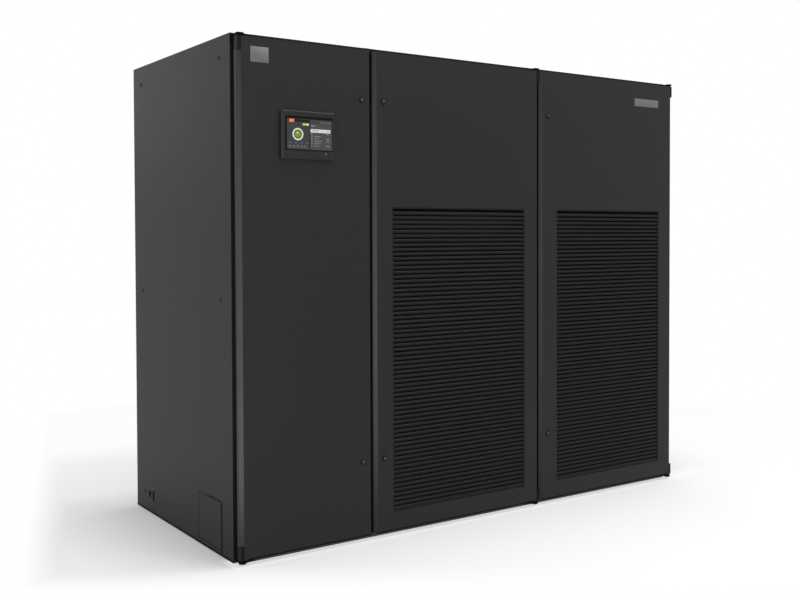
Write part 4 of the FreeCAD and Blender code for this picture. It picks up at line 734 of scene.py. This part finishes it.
# Fan bays: motor ribs, bracket bolts and filter tabs
RIB = turned([(94.0, -2.0), (99.0, -1.2), (99.0, 1.2), (94.0, 2.0)], 56, True)
RIB_LEVELS = [1.658 + 0.011 * step for step in range(5)]
BRACKET_REACH, BRACKET_TOP = 0.045, 1.724
FILTER_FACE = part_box("filter_frames")[0].y
FILTER_TAB = plate(46, 16, 1.6, 5, 0.6)
FILTERS = (-0.3772, 0.0662, 0.5098, 0.9532)
TAB_LEVELS = (0.0785, 1.333)
piece("motor_ribs", [standing(RIB, x, y, z) for x, y in FANS for z in RIB_LEVELS], "motor_paint")
piece("bracket_bolts", bolts(TOP, corners(FANS, BRACKET_REACH, BRACKET_TOP)), "bar_steel")
piece("filter_tabs", [to_front(FILTER_TAB, x, FILTER_FACE, z) for x in FILTERS for z in TAB_LEVELS],
      "controller_plastic")

# Bare plates
BADGE = plate(76, 58, 1.5, 3, 0.4)
BADGE_PLACE = (-1.103, DOOR_FACE, 1.910)
NAME_PLATE = plate(169, 37, 1.5, 3, 0.4)
NAME_PLATE_PLACE = (1.0045, DOOR_FACE, 1.8785)
piece("badge_plate", [to_front(BADGE, *BADGE_PLACE)], "stainless", "door_1", PLATE_METAL)
piece("name_plate", [to_front(NAME_PLATE, *NAME_PLATE_PLACE)], "stainless", "door_3", NAME_PLATE_METAL)

# Quarter-turn locks
ROSETTE = turned([(13.0, 0.0), (13.0, 1.6), (12.2, 2.6), (9.6, 3.0), (9.2, 4.4), (8.6, 4.8), (7.6, 4.8),
                  (7.4, 0.0)], 36, True)
INSERT = turned([(7.0, 3.0), (7.0, 4.3), (6.5, 4.6), (5.2, 4.6), (4.9, 3.2), (2.0, 3.2), (2.0, 4.2),
                 (1.6, 4.4)], 32)
KEY_BIT = plate(8.4, 2.0, 1.2, 0.5, 0.3)
KEY_BIT_FOOT = 3.1 * MM
LOCKS = {1: -0.652, 2: -0.548, 3: 0.352}
LOCK_HEIGHTS = {"upper": 1.776, "lower": 0.326}
for door, x in LOCKS.items():
    rosettes = [to_front(ROSETTE, x, DOOR_FACE, z) for z in LOCK_HEIGHTS.values()]
    piece(f"door_{door}_lock_rosettes", rosettes, "black_casting", f"door_{door}")
    for level, z in LOCK_HEIGHTS.items():
        key = [to_front(INSERT, x, DOOR_FACE, z), to_front(KEY_BIT, x, DOOR_FACE - KEY_BIT_FOOT, z)]
        piece(f"door_{door}_{level}_lock_key", key, "lock_zinc", f"door_{door}_{level}_lock")

# Display picture, in millimetres
LAYER_STEP = 0.06
TILE_THICKNESS = 0.08
TILE_CORNER, TILE_CORNER_SHARE = 1.6, 0.2
TILE_RIM = 0.02


def on_glass(shape, x, z, layer):
    """Set a part of the picture on the glass, a little above the layer below."""
    return to_front(shape, x * MM, GLASS_FACE - layer * LAYER_STEP * MM, z * MM)


def tiles(parts, layer):
    """Make flat parts of the picture from (width, height, x, z) rows."""
    made = []
    for width, height, x, z in parts:
        corner = min(TILE_CORNER, height * TILE_CORNER_SHARE)
        made.append(on_glass(plate(width, height, TILE_THICKNESS, corner, TILE_RIM), x, z, layer))
    return made


def picture(name, parts, material):
    """Add a lit part of the picture."""
    piece(name, parts, "display_glass", "door_1", material)


DIAL = (-950.0, 1621.5)
DIAL_RING = turned([(23.5, 0.0), (23.5, 0.08), (17.5, 0.08), (17.5, 0.0)], 56, True)
DIAL_FACE = turned([(14.0, 0.0), (14.0, 0.06), (13.0, 0.08)], 48)
DIAL_POINTER = turned([(5.2, 0.0), (5.2, 0.06), (4.0, 0.08)], 3)
DIVIDERS = [(3.0, 112.0, -898.0, 1622.0), (92.0, 10.0, -946.0, 1673.0)]
ROW_LEVELS = [1626.0 - 9.2 * row for row in range(6)]
LIST_ROWS = [(5.0, 5.0, -889.5, z) for z in ROW_LEVELS]
LIST_ROWS += [(36.0 - 7.0 * (row % 3), 2.6, -862.0 - 3.5 * (row % 3), ROW_LEVELS[row]) for row in range(1, 6)]
LIST_ROWS += [(13.0, 3.4, -819.0, ROW_LEVELS[row]) for row in (0, 2, 3, 5)]
STATUS_MARKS = [(7.0, 2.6, -848.0 + 10.0 * step, 1670.5) for step in range(5)]
LIST_TITLE = [(18.0, 4.6, -884.0, 1656.0)]
TOOL_MARKS = [(11.0, 9.0, -984.0 + 16.5 * step, 1575.0) for step in range(5)]
TOOL_SIGNS = [(5.0, 4.0, x, z) for _, _, x, z in TOOL_MARKS]
READINGS = [(12.0, 3.0, -983.0 + 24.0 * step, 1589.0) for step in range(4)]

picture("display_background", tiles([(199.0, 116.0, -897.5, 1622.0)], 0), SLATE)
picture("display_list", tiles([(90.0, 100.0, -849.5, 1615.0)], 1), PANEL_GREY)
picture("display_divider", tiles(DIVIDERS, 1), GLASS_BLACK)
picture("display_row", tiles([(88.0, 13.0, -851.0, 1637.5)], 2), WHITE)
picture("display_row_mark", tiles([(30.0, 3.0, -874.0, 1637.5), (9.0, 3.0, -818.0, 1637.5)], 3), SOFT_GREY)
picture("display_marks", tiles(LIST_ROWS + STATUS_MARKS + LIST_TITLE, 2), SOFT_GREY)
picture("display_tools", tiles(TOOL_MARKS + READINGS, 2), DIM_GREY)
picture("display_tool_signs", tiles(TOOL_SIGNS, 3), SLATE)
picture("display_tab", tiles([(22.0, 12.0, -977.0, 1672.5)], 2), ORANGE)
picture("display_label", tiles([(19.0, 8.0, -920.0, 1660.0)], 2), YELLOW)
picture("display_label_end", tiles([(8.0, 8.0, -906.0, 1660.0)], 2), WHITE)
picture("display_dial_ring", [on_glass(DIAL_RING, *DIAL, 2)], PALE_GREEN)
picture("display_dial_face", [on_glass(DIAL_FACE, *DIAL, 2)], GREEN)
picture("display_dial_pointer", [on_glass(DIAL_POINTER, DIAL[0] - 2.0, DIAL[1] + 5.0, 3)], PALE_GREEN)
BEZEL_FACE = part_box("display_bezel")[0].y
STATUS_LAMP = turned([(3.6, 0.0), (3.6, 0.6), (2.8, 1.0), (1.2, 1.15)], 24)
STATUS_LAMP_PLACE = (-0.827, BEZEL_FACE, 1.550)
picture("status_lamp", [to_front(STATUS_LAMP, *STATUS_LAMP_PLACE)], DIM_GREY)

# Where the floor gives way to white: two levels of a measure and the share of white at each. Painted light:
# by place these shares lift the floor's shadow, most along the door edges, to the right and behind, and end
# it along two slanted lines at the left and front left
DOOR_STRIP = ((-0.575, -0.525, 0.0, 0.6), (-0.38, -0.44, 0.0, 0.6))
DOOR_STRIP_END = (-1.24, -1.19)
LEFT_FADE = (-1.2, -1.65, 0.21, 0.55)
RIGHT_FADE = (1.15, 1.85, 0.0, 0.8)
REAR_FADES = ((0.25, 0.85, 0.0, 0.6), (0.8, 1.9, 0.0, 0.9))
LEFT_EDGE_SLOPE, LEFT_EDGE = -0.3, (-1.55, -1.85)
NEAR_EDGE_SLOPE, NEAR_EDGE = 1.4, (-1.75, -2.35)
FAR_FADE = (1.6, 3.4)
FLOOR_WHITE = (0.82, 0.82, 0.82, 1.0)
PURE_WHITE = (1.0, 1.0, 1.0, 1.0)


def view_rays(tree):
    """Give 1 for rays from the camera, mirrors and glass, and 0 for light on the object."""
    path = put(tree, "ShaderNodeLightPath").outputs
    seen = reckon(tree, "MAXIMUM", path["Is Camera Ray"], path["Is Glossy Ray"])
    return reckon(tree, "MAXIMUM", seen, path["Is Transmission Ray"])


def pale_floor():
    """A white floor that keeps a soft shadow near the cabinet and fades into the backdrop; white mixed in by
    place is painted light that lightens that shadow, most along the door edges.
    """
    material = bpy.data.materials.new("pale_floor")
    material.use_nodes = True
    tree = material.node_tree
    tree.nodes.clear()
    output = put(tree, "ShaderNodeOutputMaterial")
    matt = put(tree, "ShaderNodeBsdfDiffuse", {"Color": FLOOR_WHITE})
    bright = put(tree, "ShaderNodeEmission", {"Color": PURE_WHITE, "Strength": 1.0})
    coords = put(tree, "ShaderNodeTexCoord").outputs["Object"]
    away = put(tree, "ShaderNodeVectorMath", operation="LENGTH")
    tree.links.new(coords, away.inputs[0])
    place = put(tree, "ShaderNodeSeparateXYZ")
    tree.links.new(coords, place.inputs["Vector"])
    across, along = place.outputs["X"], place.outputs["Y"]
    left_edge = reckon(tree, "ADD", across, reckon(tree, "MULTIPLY", along, LEFT_EDGE_SLOPE))
    near_edge = reckon(tree, "ADD", across, reckon(tree, "MULTIPLY", along, NEAR_EDGE_SLOPE))
    # Painted light along the door edges: a white share that lifts the contact shadow under the doors
    outer, inner = [spread(tree, along, *fade) for fade in DOOR_STRIP]
    doors = reckon(tree, "MINIMUM", outer, inner)
    shares = [reckon(tree, "MINIMUM", doors, spread(tree, across, *DOOR_STRIP_END)),
              spread(tree, across, *LEFT_FADE), spread(tree, across, *RIGHT_FADE),
              spread(tree, along, *REAR_FADES[0]), spread(tree, along, *REAR_FADES[1]),
              spread(tree, left_edge, *LEFT_EDGE), spread(tree, near_edge, *NEAR_EDGE),
              spread(tree, away.outputs["Value"], *FAR_FADE)]
    fade = shares[0]
    for other in shares[1:]:
        fade = reckon(tree, "MAXIMUM", fade, other)
    share = reckon(tree, "MULTIPLY", view_rays(tree), fade)
    blend = put(tree, "ShaderNodeMixShader")
    tree.links.new(share, blend.inputs["Fac"])
    tree.links.new(matt.outputs["BSDF"], blend.inputs[1])
    tree.links.new(bright.outputs["Emission"], blend.inputs[2])
    tree.links.new(blend.outputs["Shader"], output.inputs["Surface"])
    return material


# Stage: the floor, just under the cabinet
FLOOR_SIZE = 20.0
FLOOR_LEVEL = Matrix.Translation((0, 0, -0.0005))
ground = bmesh.new()
bmesh.ops.create_grid(ground, x_segments=8, y_segments=8, size=FLOOR_SIZE, matrix=FLOOR_LEVEL)
ground_mesh = bpy.data.meshes.new("floor")
ground.to_mesh(ground_mesh)
ground.free()
ground_mesh.materials.append(pale_floor())
floor = bpy.data.objects.new("floor", ground_mesh)
bpy.context.scene.collection.objects.link(floor)

# White studio: a soft sky that lights the object, and a plain white backdrop for the camera
SKY_STRENGTH, BACKDROP_STRENGTH = 0.5, 1.0
world = bpy.data.worlds.new("white_studio")
bpy.context.scene.world = world
world.use_nodes = True
sky = world.node_tree
sky.nodes.clear()
sky_output = put(sky, "ShaderNodeOutputWorld")
ambient = put(sky, "ShaderNodeBackground", {"Color": PURE_WHITE, "Strength": SKY_STRENGTH})
backdrop = put(sky, "ShaderNodeBackground", {"Color": PURE_WHITE, "Strength": BACKDROP_STRENGTH})
sky_blend = put(sky, "ShaderNodeMixShader")
sky.links.new(view_rays(sky), sky_blend.inputs["Fac"])
sky.links.new(ambient.outputs["Background"], sky_blend.inputs[1])
sky.links.new(backdrop.outputs["Background"], sky_blend.inputs[2])
sky.links.new(sky_blend.outputs["Shader"], sky_output.inputs["Surface"])

# Lamps: place, aim, size in metres and power in watts
LAMPS = {
    "front_light": ((-5.3, -3.6, 1.0), (-0.5, -0.5, 1.0), 2.4, 110.0),
    "floor_light": ((-2.6, -1.35, 0.03), (-2.6, -1.35, 2.0), 1.8, 60.0),
    "rear_light": ((-2.2, 3.6, 2.6), (-1.2, 0.4, 1.7), 1.5, 4.5),
    "top_light": ((1.0, -1.2, 5.8), (0.0, 0.0, 0.0), 4.5, 330.0),
}
for name, (place, aim, size, power) in LAMPS.items():
    lamp = bpy.data.lights.new(name, "AREA")
    lamp.shape = "SQUARE"
    lamp.size = size
    lamp.energy = power
    light = bpy.data.objects.new(name, lamp)
    light.location = place
    light.visible_camera = False
    light.rotation_euler = (Vector(aim) - Vector(place)).to_track_quat("-Z", "Y").to_euler()
    bpy.context.scene.collection.objects.link(light)

# Camera
camera_data = bpy.data.cameras.new("photo_camera")
camera_data.lens = CAMERA_LENS
camera_data.sensor_width = CAMERA_SENSOR
camera_data.sensor_fit = "HORIZONTAL"
camera_data.shift_y = CAMERA_SHIFT_UP
camera = bpy.data.objects.new("photo_camera", camera_data)
camera.location = CAMERA_PLACE
camera.rotation_euler = [math.radians(angle) for angle in CAMERA_TURN]
bpy.context.scene.collection.objects.link(camera)
bpy.context.scene.camera = camera
bpy.context.scene.view_settings.view_transform = "Standard"
